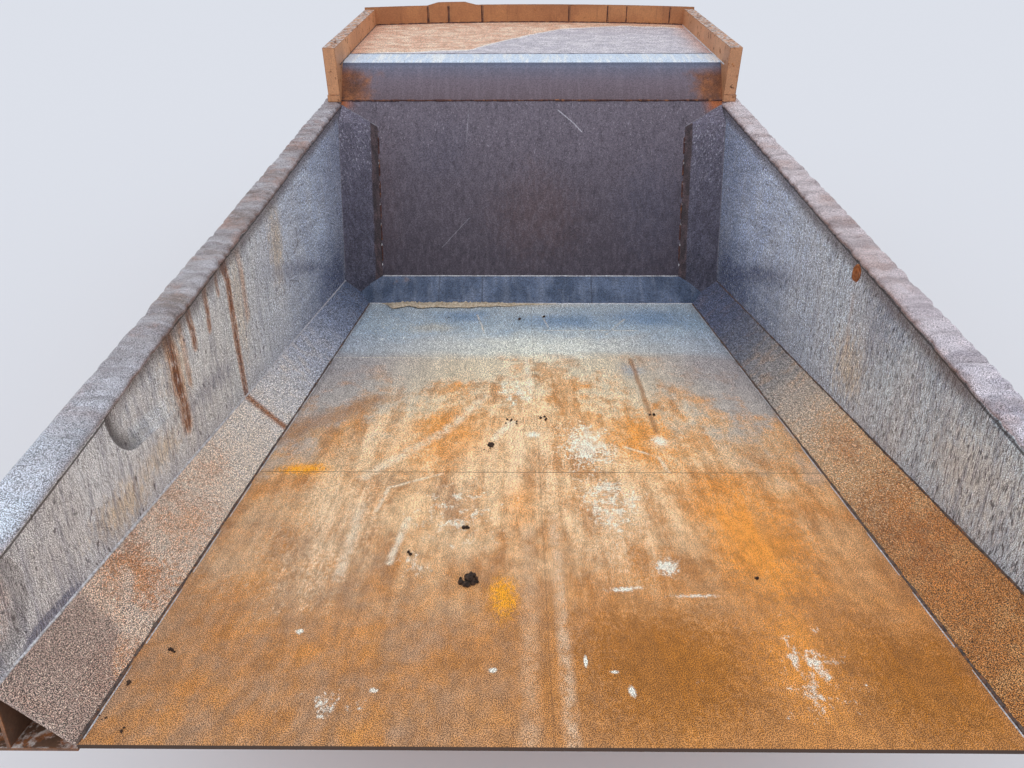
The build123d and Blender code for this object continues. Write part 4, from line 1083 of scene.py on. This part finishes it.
# body paint on its own pieces; tops are walked on and struck, so they chip most
def paintMaterial(name, deep, pale, chips, dust=0.0):
    material, tree = newMaterial(name)
    raw = objectPlace(tree)
    normal = split(normalOf(tree))[2]
    facing = spread(normal, 0.5, 0.95)
    worn = useGroup(edgeWear, {"Place": raw, "Radius": 0.014, "Scale": 24.0, "Low": 0.02, "High": 0.12})["Mask"]
    coat = useGroup(bodyPaint, {
        "Place": raw, "Wear": worn, "Facing": facing, "Chips": chips, "Dust": dust, "Deep": deep, "Pale": pale,
    })
    roughness = spread(coat["Bare"], 0, 1, 0.5, 0.8)
    return finish(material, coat["Colour"], roughness, 0.0, coat["Height"], 0.35, 0.0015)


# plain steels with their own grain: welds, the plug, castings
def steelMaterial(name, dark, pale, rough=(0.5, 0.7), metal=0.5, scale=8.0, rusting=0.0, bump=0.3):
    material, tree = newMaterial(name)
    raw = objectPlace(tree)
    broad = grainOf(raw, scale, 0.36, 0.64, 8.0, 0.66)
    colour = blend(broad, dark, pale)
    fine = grainOf(raw, 120.0, 0.3, 0.7, 3.0, 0.65)
    rusty = useGroup(rust, {"Place": raw, "Scale": 8.0, "Brightness": -0.04})
    spots = grainOf(raw, scale * 0.7, 0.62 - 0.3 * rusting, 0.78 - 0.3 * rusting, 8.0, 0.7, (1, 1, 1), (7, 3, 5))
    spots = spots * min(1.0, rusting * 2)
    colour = blend(spots, colour, rusty["Colour"])
    colour = blend(1.0, colour, ramp(fine, [(0.0, (0.8, 0.8, 0.8, 1)), (1.0, (1.18, 1.18, 1.18, 1))]), "MULTIPLY")
    worn = useGroup(edgeWear, {"Place": raw, "Radius": 0.006, "Scale": 30.0, "Low": 0.03, "High": 0.2})["Mask"]
    colour = blend(worn * 0.4, colour, tone(196, 192, 190))
    roughness = spread(broad, 0, 1, rough[1], rough[0])
    metallic = spread(spots, 0, 1, metal, 0.0)
    return finish(material, colour, roughness, metallic, fine + spots, bump, 0.002)


def rubberMaterial():
    material, tree = newMaterial("padRubber")
    raw = objectPlace(tree)
    dusty = grainOf(raw, 9.0, 0.4, 0.7, 8.0, 0.65)
    colour = blend(dusty, tone(30, 30, 31), tone(84, 78, 72))
    fine = grainOf(raw, 160.0, 0.3, 0.7, 3.0, 0.6)
    return finish(material, colour, spread(dusty, 0, 1, 0.62, 0.9), 0.0, fine, 0.3, 0.001)


def earthMaterial(name, dark, pale):
    material, tree = newMaterial(name)
    raw = objectPlace(tree)
    mixed = grainOf(raw, 45.0, 0.35, 0.65, 6.0, 0.7)
    colour = blend(mixed, dark, pale)
    fine = grainOf(raw, 220.0, 0.3, 0.7, 3.0, 0.6)
    return finish(material, colour, spread(mixed, 0, 1, 0.95, 0.8), 0.0, mixed + fine, 0.6, 0.004)


materials = {
    "floor": wearFloorMaterial(),
    "wall_left": linerMaterial("left", -1),
    "wall_right": linerMaterial("right", 1),
    "corner_left": cornerMaterial("left", -1),
    "corner_right": cornerMaterial("right", 1),
    "head": headboardMaterial(),
    "knee": kneeMaterial(),
    "canopy": canopyMaterial(),
    "rail_left": railMaterial("left"),
    "rail_right": railMaterial("right"),
    "lip": paintMaterial("lipPaint", tone(170, 112, 72), tone(196, 136, 88), 0.26),
    "sidePaint": paintMaterial("canopySidePaint", tone(190, 136, 98), tone(216, 156, 112), 0.36),
    "outer": paintMaterial("bodyPaint", tone(190, 112, 54), tone(216, 140, 76), 0.32, 0.35),
    # the tail post's dark brown paint also stands in for the shade in its recess
    "pocket": paintMaterial("pocketPaintAndShade", tone(70, 54, 46), tone(108, 80, 62), 0.30, 0.1),
    "fillet": filletMaterial(),
    "gusset": gussetMaterial(),
    "weld": steelMaterial("weldSteel", tone(176, 172, 174), tone(232, 232, 236), (0.4, 0.6), 0.2, 60.0, 0.2),
    "greyWeld": steelMaterial("greyWeld", tone(104, 102, 112), tone(150, 148, 158), (0.5, 0.7), 0.2, 50.0, 0.2),
    "rustyWeld": steelMaterial("rustyWeld", tone(66, 56, 56), tone(112, 94, 84), (0.6, 0.8), 0.1, 50.0, 0.4),
    "darkWeld": steelMaterial("darkWeld", tone(56, 34, 34), tone(96, 56, 50), (0.6, 0.8), 0.1, 30.0, 0.4),
    "rustPlug": steelMaterial("rustPlug", tone(132, 70, 34), tone(176, 104, 52), (0.7, 0.9), 0.0, 60.0, 0.7),
    "cast": steelMaterial("castSteel", tone(92, 74, 64), tone(124, 96, 78), (0.65, 0.85), 0.2, 12.0, 0.6, 0.5),
    "rubber": rubberMaterial(),
    "crumb": earthMaterial("darkCrumbs", tone(36, 26, 20), tone(86, 64, 50)),
    "sand": earthMaterial("sandyDebris", tone(176, 152, 122), tone(232, 216, 192)),
}
print("materials made")


def setMaterial(node, key):
    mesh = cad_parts[node].data
    mesh.materials.clear()
    mesh.materials.append(materials[key])


nodeLooks = {
    "floor_rear": "floor", "floor_middle": "floor", "floor_front": "floor",
    "headboard": "head", "headboard_knee": "knee", "canopy_plate": "canopy", "canopy_lip": "lip",
    "canopy_side": "sidePaint", "head_fillet_plate": "fillet", "corner_gusset": "gusset",
    "body_pads": "rubber", "rock_ejector": "cast", "tail_post": "pocket",
}
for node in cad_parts:
    base = node.removesuffix("_left").removesuffix("_right")
    hand = node.rsplit("_", 1)[-1]
    if base == "corner_plate":
        setMaterial(node, f"corner_{hand}")
    else:
        setMaterial(node, nodeLooks.get(base, "outer"))


def addPiece(name, verts, faces, material, rides="body", smooth=True, replaces=()):
    mesh = bpy.data.meshes.new(name)
    mesh.from_pydata([tuple(v) for v in verts], [], faces)
    mesh.materials.append(materials[material])
    mesh.polygons.foreach_set("use_smooth", [smooth] * len(mesh.polygons))
    mesh.update()
    mesh.set_sharp_from_angle(angle=radians(70))
    piece = bpy.data.objects.new(name, mesh)
    bpy.context.scene.collection.objects.link(piece)
    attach(piece, rides)
    if replaces:
        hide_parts(*replaces)
    return piece


# quads over a grid of vertices that is rows long and columns wide
def gridFaces(rows, columns, start=0, closed=False, flip=False):
    faces = []
    for row in range(rows - 1):
        for column in range(columns if closed else columns - 1):
            beside = (column + 1) % columns
            a = start + row * columns + column
            b = start + row * columns + beside
            quad = (a, b, b + columns, a + columns)
            faces.append(quad[::-1] if flip else quad)
    return faces


# an eased step from 0 to 1
def smooth(share):
    share = min(1.0, max(0.0, share))
    return share * share * (3 - 2 * share)


# the body's own directions of a point of the side wall
def alongUp(y, z):
    slope = body["slope"]
    return body["pivotAlong"] + y * cos(slope) - z * sin(slope), body["pivotUp"] + y * sin(slope) + z * cos(slope)


# how far inside the big dent's rounded rear corner a place lies
def insidePocket(along, up):
    dent = wallShape["pocket"]
    reach = dent["round"]
    behind = min(0.0, along - dent["start"] - reach)
    below = min(0.0, up - dent["foot"] - reach)
    return reach - math.hypot(behind, below)


# how far the wall is pushed out at a place
def wallPush(hand, y, z):
    shape = wallShape
    side = -1 if hand == "left" else 1
    along, up = alongUp(y, z)
    foot = at(along, body["cornerRise"])[1]
    height = min(1.0, max(0.0, (z - foot) / (crownStart - foot)))
    half = body["ribWidth"] / 2
    starts = [0.3] + [row + half for row in ribRows]
    ends = [row - half for row in ribRows] + [headFoot - 0.05]
    push = 0.0
    for amount, low, high in zip(shape["bays"][hand], starts, ends):
        if low < along < high:
            across = sin(math.pi * (along - low) / (high - low)) ** 1.2
            swell = sin(math.pi * height)
            push = shape["bulge"] * amount * across * swell ** 0.8
            push += shape["ripple"] * across * swell * noise.noise(Vector((side * 7, along * 3.5, up * 3.5)))
    ledge = shape["ledge"]
    raised = smooth((z - ledge["level"]) / ledge["rise"])
    push = max(0.0, push) + ledge["depth"] * raised * smooth((along - ledge["start"]) / ledge["run"])
    if hand == "left":
        dent = shape["pocket"]
        inside = insidePocket(along, up)
        fade = smooth((dent["fade"][1] - along) / (dent["fade"][1] - dent["fade"][0]))
        push += shape["ribLimit"] * smooth(inside / dent["rim"]) * fade
        push += (dent["depth"] - shape["ribLimit"]) * smooth((inside - 0.02) / 0.08) * fade
        dimple = shape["tailDent"]
        far = math.hypot((along - dimple["along"]) / dimple["length"], (up - dimple["up"]) / dimple["height"])
        push += dimple["depth"] * smooth((1 - far) / 0.25)
    # the ribs and the tail's post hold the sheet
    clear = min(abs(along - row) for row in ribRows)
    slack = shape["slack"] * smooth((clear - half - 0.005) / 0.09) * smooth((along - 0.35) / 0.1)
    toHead = headY + (z - headZ) * tan(body["headLean"]) - y
    held = shape["held"]
    hold = smooth(along / held["ends"]) * smooth(toHead / held["ends"])
    hold *= smooth((up - body["cornerRise"]) / held["foot"])
    return min(push, shape["ribLimit"] + slack) * hold


# battered box rails with rounded crowns
railShape = {
    "step": 0.018,
    "crownPoints": 8,
    "sidePoints": 8,
    "levels": [1.325, 1.345, 1.362, 1.378, 1.390, 1.399, 1.405, 1.411],
    "sheetTop": 1.399,
    "wrinkle": 0.013,
    "sag": 0.006,
    "wrinkleRate": 9.0,
    "kink": -0.55,
}


# how far the crown is beaten in at a place around the rail
def railDent(side, y, around, ends):
    shape = railShape
    slant = y * shape["wrinkleRate"] + 2.4 * around
    folds = 1 - abs(2.2 * noise.noise(Vector((side * 3.1, slant, around * 3))))
    folds = max(0.0, folds) ** 2 + 0.5 * noise.noise(Vector((side, slant * 2.3, around * 6)))
    worn = 1.0 if side > 0 else 0.12 + 0.88 * smooth((y - shape["kink"]) / 0.3)
    broad = max(0.0, 0.4 + noise.noise(Vector((side * 5.2, y * 1.1, around * 2))))
    return ends * worn * (shape["wrinkle"] * max(0.0, folds) + shape["sag"] * broad)


def makeRail(hand, side):
    shape = railShape
    low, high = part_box(f"top_rail_{hand}")
    inner, outer = innerHalf, innerHalf + body["railWidth"]
    crown = body["railRound"]
    count = shape["sidePoints"]
    # section points as (x, z, how dents move x, how dents move z)
    section = [(inner, z, 1, 0) for z in [low.z] + shape["levels"]]
    sheet = len(section)
    turns = [radians(90) * k / (shape["crownPoints"] - 1) for k in range(shape["crownPoints"])]
    shoulder = high.z - crown
    for turn in turns:
        section.append((inner + crown - crown * cos(turn), shoulder + crown * sin(turn), cos(turn), -sin(turn)))
    for k in range(1, count):
        section.append((inner + crown + (outer - inner - 2 * crown) * k / count, high.z, 0, -1))
    for turn in turns:
        section.append((outer - crown + crown * sin(turn), shoulder + crown * cos(turn), -sin(turn), -cos(turn)))
    for k in range(1, count + 1):
        section.append((outer, shoulder - (shoulder - low.z) * k / count, -1, 0))
    for k in range(1, 5):
        section.append((outer + (inner - outer) * k / 5, low.z, 0, 1))
    stations = int((high.y - tailY(high.z)) / shape["step"])
    verts = []
    total = len(section)
    for row in range(stations + 1):
        share = row / stations
        ends = min(1.0, share * stations / 3, (1 - share) * stations / 3)
        for place, (x, z, inX, inZ) in enumerate(section):
            y = tailY(z) + share * (high.y - tailY(z))
            if place < sheet:
                onCrown = smooth((z - shape["sheetTop"]) / (crownStart - shape["sheetTop"]))
                dent = wallPush(hand, y, z) * (1 - onCrown) + railDent(side, y, sheet / total, ends) * onCrown
            else:
                upper = min(1.0, max(0.0, (z - low.z) / (0.6 * (high.z - low.z))))
                dent = railDent(side, y, place / total, ends) * upper
            verts.append((side * (x + inX * dent), y, z + inZ * dent))
    faces = gridFaces(stations + 1, total, closed=True, flip=side > 0)
    faces.append(tuple(range(total))[:: side])
    last = stations * total
    faces.append(tuple(range(last, last + total))[:: -side])
    rail = addPiece(f"rail_{hand}", verts, faces, f"rail_{hand}", replaces=[f"top_rail_{hand}"])
    # the inner face has the wall's look as far as the headboard
    rail.data.materials.append(materials[f"wall_{hand}"])
    for row in range(stations):
        if verts[row * total][1] < headHighY:
            for place in range(sheet):
                rail.data.polygons[row * total + place].material_index = 1
    return rail


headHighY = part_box("headboard_knee")[0].y
for hand, side in hands:
    makeRail(hand, side)
print("rails made")


# the point a share of the way from one point to another
def between(start, end, share):
    return start[0] + share * (end[0] - start[0]), start[1] + share * (end[1] - start[1])


def makeWall(hand, side):
    tailLow = at(0, body["cornerRise"])
    headLow = (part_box("headboard")[0].y + body["wallPlate"] / cos(body["headLean"]), headZ)
    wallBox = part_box(f"side_wall_{hand}")
    headHigh = (wallBox[1].y, wallBox[1].z)
    tailHigh = (tailY(railBottom), railBottom)
    step = wallShape["step"][hand]
    rows = int((headHigh[0] - tailHigh[0]) / step)
    columns = int((tailHigh[1] - headLow[1]) / step / 1.4)
    sheets = []
    for depth in (0.0, body["wallPlate"]):
        verts = []
        for row in range(rows + 1):
            s = row / rows
            low = between(tailLow, headLow, s)
            high = between(tailHigh, headHigh, s)
            for column in range(columns + 1):
                y, z = between(low, high, column / columns)
                verts.append((side * (innerHalf + depth + wallPush(hand, y, z)), y, z))
        sheets.append(verts)
    columns += 1
    rows += 1
    verts = sheets[0] + sheets[1]
    count = len(sheets[0])
    faces = gridFaces(rows, columns, flip=side < 0) + gridFaces(rows, columns, count, flip=side > 0)
    rim = list(range(columns)) + [row * columns + columns - 1 for row in range(1, rows)]
    rim += [(rows - 1) * columns + k for k in range(columns - 2, -1, -1)]
    rim += [row * columns for row in range(rows - 2, 0, -1)]
    for k, a in enumerate(rim):
        b = rim[(k + 1) % len(rim)]
        quad = (a, b, b + count, a + count)
        faces.append(quad[::side])
    return addPiece(f"wall_{hand}", verts, faces, f"wall_{hand}", replaces=[f"side_wall_{hand}"])


for hand, side in hands:
    makeWall(hand, side)
print("walls made")


# weld beads: half-round ripples sunk along a seam
beadShape = {"sides": 6, "step": 0.010, "ripple": 0.22, "sway": 0.35}


# one run of bead between two points
def layBead(verts, faces, first, way, low, high, radius, seed):
    shape = beadShape
    sides = shape["sides"]
    across = way.orthogonal().normalized()
    beside = way.cross(across)
    steps = max(2, int((high - low) / shape["step"]))
    base = len(verts)
    for k in range(steps + 1):
        run = low + (high - low) * k / steps
        wave = 1 + shape["ripple"] * (k % 2 - 0.5) + 0.5 * noise.noise(Vector((run * 14, seed * 3.7, 0)))
        size = radius * wave * (0.5 if k in (0, steps) else 1.0)
        sway = radius * shape["sway"] * noise.noise(Vector((run * 9, seed * 1.3, 5)))
        middle = first + way * run + across * sway
        for corner in range(sides):
            angle = 2 * math.pi * corner / sides
            verts.append(middle + (across * cos(angle) + beside * sin(angle)) * size)
    faces += gridFaces(steps + 1, sides, base, closed=True)
    faces.append(tuple(range(base, base + sides))[::-1])
    top = base + steps * sides
    faces.append(tuple(range(top, top + sides)))


# a weld of beads given as (points, radius, seed), and (dash, gap) where they are broken
def addWeld(name, material, beads):
    verts, faces = [], []
    for points, radius, seed, *broken in beads:
        for first, last in zip(points, points[1:]):
            length = (last - first).length
            way = (last - first).normalized()
            dash, gap = broken[0] if broken else (length, 0.0)
            start = 0.0
            while start < length:
                layBead(verts, faces, first, way, start, min(length, start + dash), radius, seed)
                start += dash + gap
    return addPiece(name, verts, faces, material)


headNormal = Vector((0, -cos(body["headLean"]), sin(body["headLean"])))
headUp = Vector((0, sin(body["headLean"]), cos(body["headLean"])))


# a point on the headboard's face: across, up its slope, standing off into the load space
def onHead(x, rise, off=0.0):
    return Vector((x, headY, headZ)) + headUp * rise + headNormal * off


# from one end of a seam across the body to the other
def acrossBody(half, place):
    return [place(-half), place(half)]


gussetSeam = innerHalf - body["gussetWidth"] - body["gussetReturn"]


def makeInsideWelds(hand, side):
    wall = side * innerHalf
    length, top, stand = body["floorLength"], body["gussetHeight"], body["gussetWall"]
    # the bead at the wall's foot is pale on the left, where it also stands for a painted highlight line, and rusty on
    # the right
    foot = [spot(wall, 0, body["cornerRise"]), Vector((wall, headY, headZ))]
    addWeld(f"weld_wall_foot_{hand}", "weld" if side < 0 else "rustyWeld", [(foot, 0.0065, 1)])
    edge = side * floorHalf
    addWeld(f"weld_floor_side_{hand}", "rustyWeld", [([spot(edge, 0, 0), spot(edge, length, 0)], 0.007, 2)])
    trace = side * (floorHalf - 0.012)
    bead = ([spot(trace, 0.02, 0), spot(trace, length - 0.02, 0)], 0.003, 12, (0.35, 0.12))
    addWeld(f"weld_floor_trace_{hand}", "weld", [bead])
    seam = side * gussetSeam
    addWeld(f"weld_gusset_rim_{hand}", "greyWeld", [
        ([onHead(wall, 0.05, stand), onHead(wall, top, stand)], 0.005, 3),
        ([onHead(seam, top - 0.02), onHead(wall, top + body["gussetPeak"])], 0.006, 5),
    ])
    bead = ([onHead(seam, 0.1), onHead(seam, top - 0.02)], 0.0055, 4, (0.028, 0.172))
    addWeld(f"weld_gusset_ticks_{hand}", "weld", [bead])
    gaps = side * (gussetSeam - 0.004)
    bead = ([onHead(gaps, 0.15), onHead(gaps, top - 0.06)], 0.007, 14, (0.16, 0.05))
    addWeld(f"weld_gusset_gaps_{hand}", "darkWeld", [bead])


for hand, side in hands:
    makeInsideWelds(hand, side)
addWeld("weld_fillet", "weld", [
    (acrossBody(floorHalf, lambda x: spot(x, body["floorLength"], 0.002)), 0.007, 6),
    (acrossBody(gussetSeam, lambda x: Vector((x, headY, headZ))), 0.0065, 7),
])
# the dark bead at the knee's seam also stands for the lap joint's shadow line
addWeld("weld_knee_shadow_line", "darkWeld", [(acrossBody(innerHalf, lambda x: Vector((x, seamY, seamZ))), 0.009, 8)])
addWeld("weld_canopy", "greyWeld", [
    (acrossBody(innerHalf, lambda x: Vector((x, canopyLow.y, canopyTop))), 0.006, 9),
])
print("inside welds made")

# the lip is made up of short plates, so upright joints cross its inner face
lipSet = {
    "joints": [-1.24, -0.99, -0.58, 0.49, 0.96, 1.19, 1.70],
    "radius": 0.008,
    "bow": 0.24,
    "footRadius": 0.012,
    "footStep": 0.124,
}
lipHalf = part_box("canopy_lip")[1].x
bowRadius = (lipHalf**2 + lipSet["bow"] ** 2) / (2 * lipSet["bow"])


# the lip's inner face at x
def lipFace(x):
    return canopyHigh.y - (bowRadius - math.sqrt(bowRadius**2 - x**2))


def makeLipWelds():
    settings = lipSet
    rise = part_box("canopy_side_left")[1].z + 0.018
    dark, pale = [], []
    for index, x in enumerate(settings["joints"]):
        y = lipFace(x) + 0.002
        dark.append(([Vector((x, y, canopyTop)), Vector((x, y, rise))], settings["radius"], index))
        beside = [Vector((x + 0.016, y, canopyTop)), Vector((x + 0.016, y, rise))]
        pale.append((beside, settings["radius"] * 0.6, index + 20))
    places = [settings["footStep"] * k - innerHalf for k in range(31)]
    foot = [Vector((x, lipFace(x), canopyTop)) for x in places]
    addWeld("weld_lip_dark", "darkWeld", dark)
    addWeld("weld_lip_pale", "rustyWeld", pale)
    # the broad dark bead along the lip's foot also stands for the shadow there
    addWeld("weld_lip_foot_shadow", "darkWeld", [(foot, settings["footRadius"], 40)])
    for hand, side in hands:
        wall = side * innerHalf
        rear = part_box(f"canopy_side_{hand}")[0].y + 0.15
        seam = [Vector((wall, rear, canopyTop)), Vector((wall, lipFace(innerHalf) - 0.01, canopyTop))]
        look = "weld" if side > 0 else "rustyWeld"
        addWeld(f"weld_canopy_foot_{hand}", look, [(seam, 0.007, 50 + side)])


makeLipWelds()

# beads where the outside ribs meet the walls
outsideWelds = {"radius": 0.005, "gap": 0.004, "off": 0.005}


def makeOutsideWelds():
    settings = outsideWelds
    half = body["ribWidth"] / 2 + settings["gap"]
    for hand, side in hands:
        beads = []
        x = side * (innerHalf + body["wallPlate"] + settings["off"])
        for row in ribRows:
            for along in (row - half, row + half):
                lean = (body["pivotAlong"] - along) * sin(body["slope"])
                high = (railBottom - lean) / cos(body["slope"]) + body["pivotUp"]
                if along < headFoot - 0.2:
                    seam = [spot(x, along, body["cornerRise"] + 0.04), spot(x, along, high - 0.01)]
                    beads.append((seam, settings["radius"], int(along * 10)))
        addWeld(f"weld_ribs_{hand}", "outer", beads)


makeOutsideWelds()
print("outside welds made")

# a rusty plug in the right wall, with its rim
plugSet = {
    "y": 0.808,
    "z": 1.352,
    "radius": 0.044,
    "segments": 40,
    # rings as (share of the radius, how far it stands off the wall)
    "rings": [(0.0, 0.004), (0.55, 0.006), (0.80, 0.003), (0.86, 0.007), (1.0, 0.008), (1.10, 0.003), (1.16, -0.006)],
}


def makePlug():
    settings = plugSet
    verts, faces = [], []
    count = settings["segments"]
    rings = settings["rings"]
    for share, proud in rings:
        for k in range(count):
            angle = 2 * math.pi * k / count
            wave = 1 + 0.08 * noise.noise(Vector((cos(angle) * 2, sin(angle) * 2, share * 3)))
            radius = settings["radius"] * share * wave
            y = settings["y"] + radius * cos(angle)
            z = min(crownStart - 0.012, settings["z"] + 1.1 * radius * sin(angle))
            verts.append((innerHalf + wallPush("right", y, z) - proud, y, z))
    faces = gridFaces(len(rings), count, closed=True)
    addPiece("wall_plug", verts, faces, "rustPlug")


makePlug()

# dry crumbs of dirt on the floor: clusters given as (x, along, spread, how many, size)
crumbSet = {
    "clusters": [
        (-0.347, 0.905, 0.045, 26, 0.017), (-0.387, 1.335, 0.015, 4, 0.01), (-0.642, 1.115, 0.014, 4, 0.01),
        (-0.291, 2.254, 0.022, 8, 0.014), (-0.3, 2.22, 0.05, 4, 0.006), (-1.585, 0.282, 0.016, 3, 0.006),
        (-1.5, 0.447, 0.018, 5, 0.006), (-1.6, 0.12, 0.016, 3, 0.005), (-1.5, 0.06, 0.012, 3, 0.005),
        (0.954, 0.927, 0.01, 2, 0.008), (-0.17, 2.62, 0.06, 7, 0.009), (0.02, 2.66, 0.05, 5, 0.009),
        (0.78, 2.72, 0.02, 3, 0.01), (0.1, 4.95, 0.03, 3, 0.014), (-0.12, 4.9, 0.02, 3, 0.014),
        (-0.8, 4.95, 0.03, 3, 0.012),
    ],
    "seed": 41,
}


# a knobbly stone: a rough ball of rings
def addLump(verts, faces, middle, size, seed):
    base = len(verts)
    rings, count = 5, 8
    for ring in range(rings):
        tilt = math.pi * (ring + 0.5) / rings
        for k in range(count):
            angle = 2 * math.pi * k / count
            way = Vector((sin(tilt) * cos(angle), sin(tilt) * sin(angle), cos(tilt)))
            reach = size * (1 + 0.5 * noise.noise(way * 2 + Vector((seed, seed * 2, 0))))
            verts.append(middle + way * reach)
    faces += gridFaces(rings, count, base, closed=True)
    faces.append(tuple(range(base, base + count))[::-1])
    faces.append(tuple(range(base + (rings - 1) * count, base + rings * count)))


def makeCrumbs():
    settings = crumbSet
    chance = random.Random(settings["seed"])
    verts, faces = [], []
    for x, along, reach, count, size in settings["clusters"]:
        for _ in range(count):
            far = reach * math.sqrt(chance.random())
            angle = chance.random() * 2 * math.pi
            bulk = size * (0.45 + 0.75 * chance.random()) * (1.2 - 0.5 * far / reach)
            lift = bulk * (0.55 if far > reach * 0.4 else 0.9)
            middle = spot(x + far * cos(angle), along + far * sin(angle), lift)
            addLump(verts, faces, middle, bulk, chance.random() * 50)
    addPiece("floor_crumbs", verts, faces, "crumb", smooth=False)


makeCrumbs()

# fine dry earth lying along the foot of the fillet
sandSet = {"from": -1.50, "to": 0.30, "step": 0.012, "width": 0.150, "height": 0.042, "seed": 5}


def makeSand():
    settings = sandSet
    steps = int((settings["to"] - settings["from"]) / settings["step"])
    across = 9
    verts = []
    for row in range(steps + 1):
        x = settings["from"] + row * settings["step"]
        share = row / steps
        full = smooth(share * 12) * (1 - smooth((share - 0.45) / 0.55)) + 0.12
        wave = 1 + 0.5 * noise.noise(Vector((x * 7, settings["seed"], 0)))
        width = settings["width"] * full * wave * (1 if share < 0.98 else 0.3)
        for k in range(across):
            t = k / (across - 1)
            lump = 0.75 + 0.6 * noise.noise(Vector((x * 40, t * 5, 3)))
            rise = settings["height"] * full * sin(math.pi * min(1.0, t * 0.9 + 0.1)) * lump
            lift = max(0.0, rise) + (0.0005 if k else -0.001)
            verts.append(spot(x, body["floorLength"] - width * (1 - t) + 0.004, lift))
    faces = gridFaces(steps + 1, across, flip=True)
    addPiece("floor_sand", verts, faces, "sand")


makeSand()
print("plug, crumbs and sand made")


# plain pale floor and background, even sky light and one broad soft lamp
stage = {
    "level": -0.80,
    "reach": 90.0,
    "floor": tone(226, 227, 230),
    "background": tone(226, 228, 232),
    "sky": tone(240, 244, 252),
    "skyStrength": 0.88,
    "lampWay": (0.06, 0.40, -0.915),
    "lampStrength": 0.62,
    "lampAngle": 60,
}


def makeStage():
    reach = stage["reach"]
    mesh = bpy.data.meshes.new("stageFloor")
    corners = [(-reach, -reach), (reach, -reach), (reach, reach), (-reach, reach)]
    mesh.from_pydata([(x, y + 3, stage["level"]) for x, y in corners], [], [(0, 1, 2, 3)])
    floor = bpy.data.objects.new("stageFloor", mesh)
    bpy.context.scene.collection.objects.link(floor)
    material, tree = newMaterial("stageFloor")
    plain = {"Base Color": stage["floor"], "Roughness": 0.95, "Specular IOR Level": 0.0}
    put("ShaderNodeOutputMaterial", {"Surface": put("ShaderNodeBsdfPrincipled", plain, tree=tree)})
    mesh.materials.append(material)


def makeLamp():
    lamp = bpy.data.lights.new("softLamp", "SUN")
    lamp.energy = stage["lampStrength"]
    lamp.angle = radians(stage["lampAngle"])
    holder = bpy.data.objects.new("softLamp", lamp)
    holder.rotation_euler = Vector(stage["lampWay"]).to_track_quat("-Z", "Y").to_euler()
    bpy.context.scene.collection.objects.link(holder)


def makeWorld():
    world = bpy.data.worlds.new("sky")
    world.use_nodes = True
    tree = world.node_tree
    tree.nodes.clear()
    light = put("ShaderNodeBackground", {"Color": stage["sky"], "Strength": stage["skyStrength"]}, tree=tree)
    backdrop = put("ShaderNodeBackground", {"Color": stage["background"], "Strength": 1.0}, tree=tree)
    rays = [put("ShaderNodeLightPath", None, f"Is {kind} Ray", tree) for kind in ("Camera", "Transmission")]
    chosen = put("ShaderNodeMixShader", {0: maths("MAXIMUM", *rays), 1: light, 2: backdrop})
    put("ShaderNodeOutputWorld", {"Surface": chosen})
    bpy.context.scene.world = world


makeStage()
makeLamp()
makeWorld()
bpy.context.scene.view_settings.view_transform = "Standard"
print("stage made")
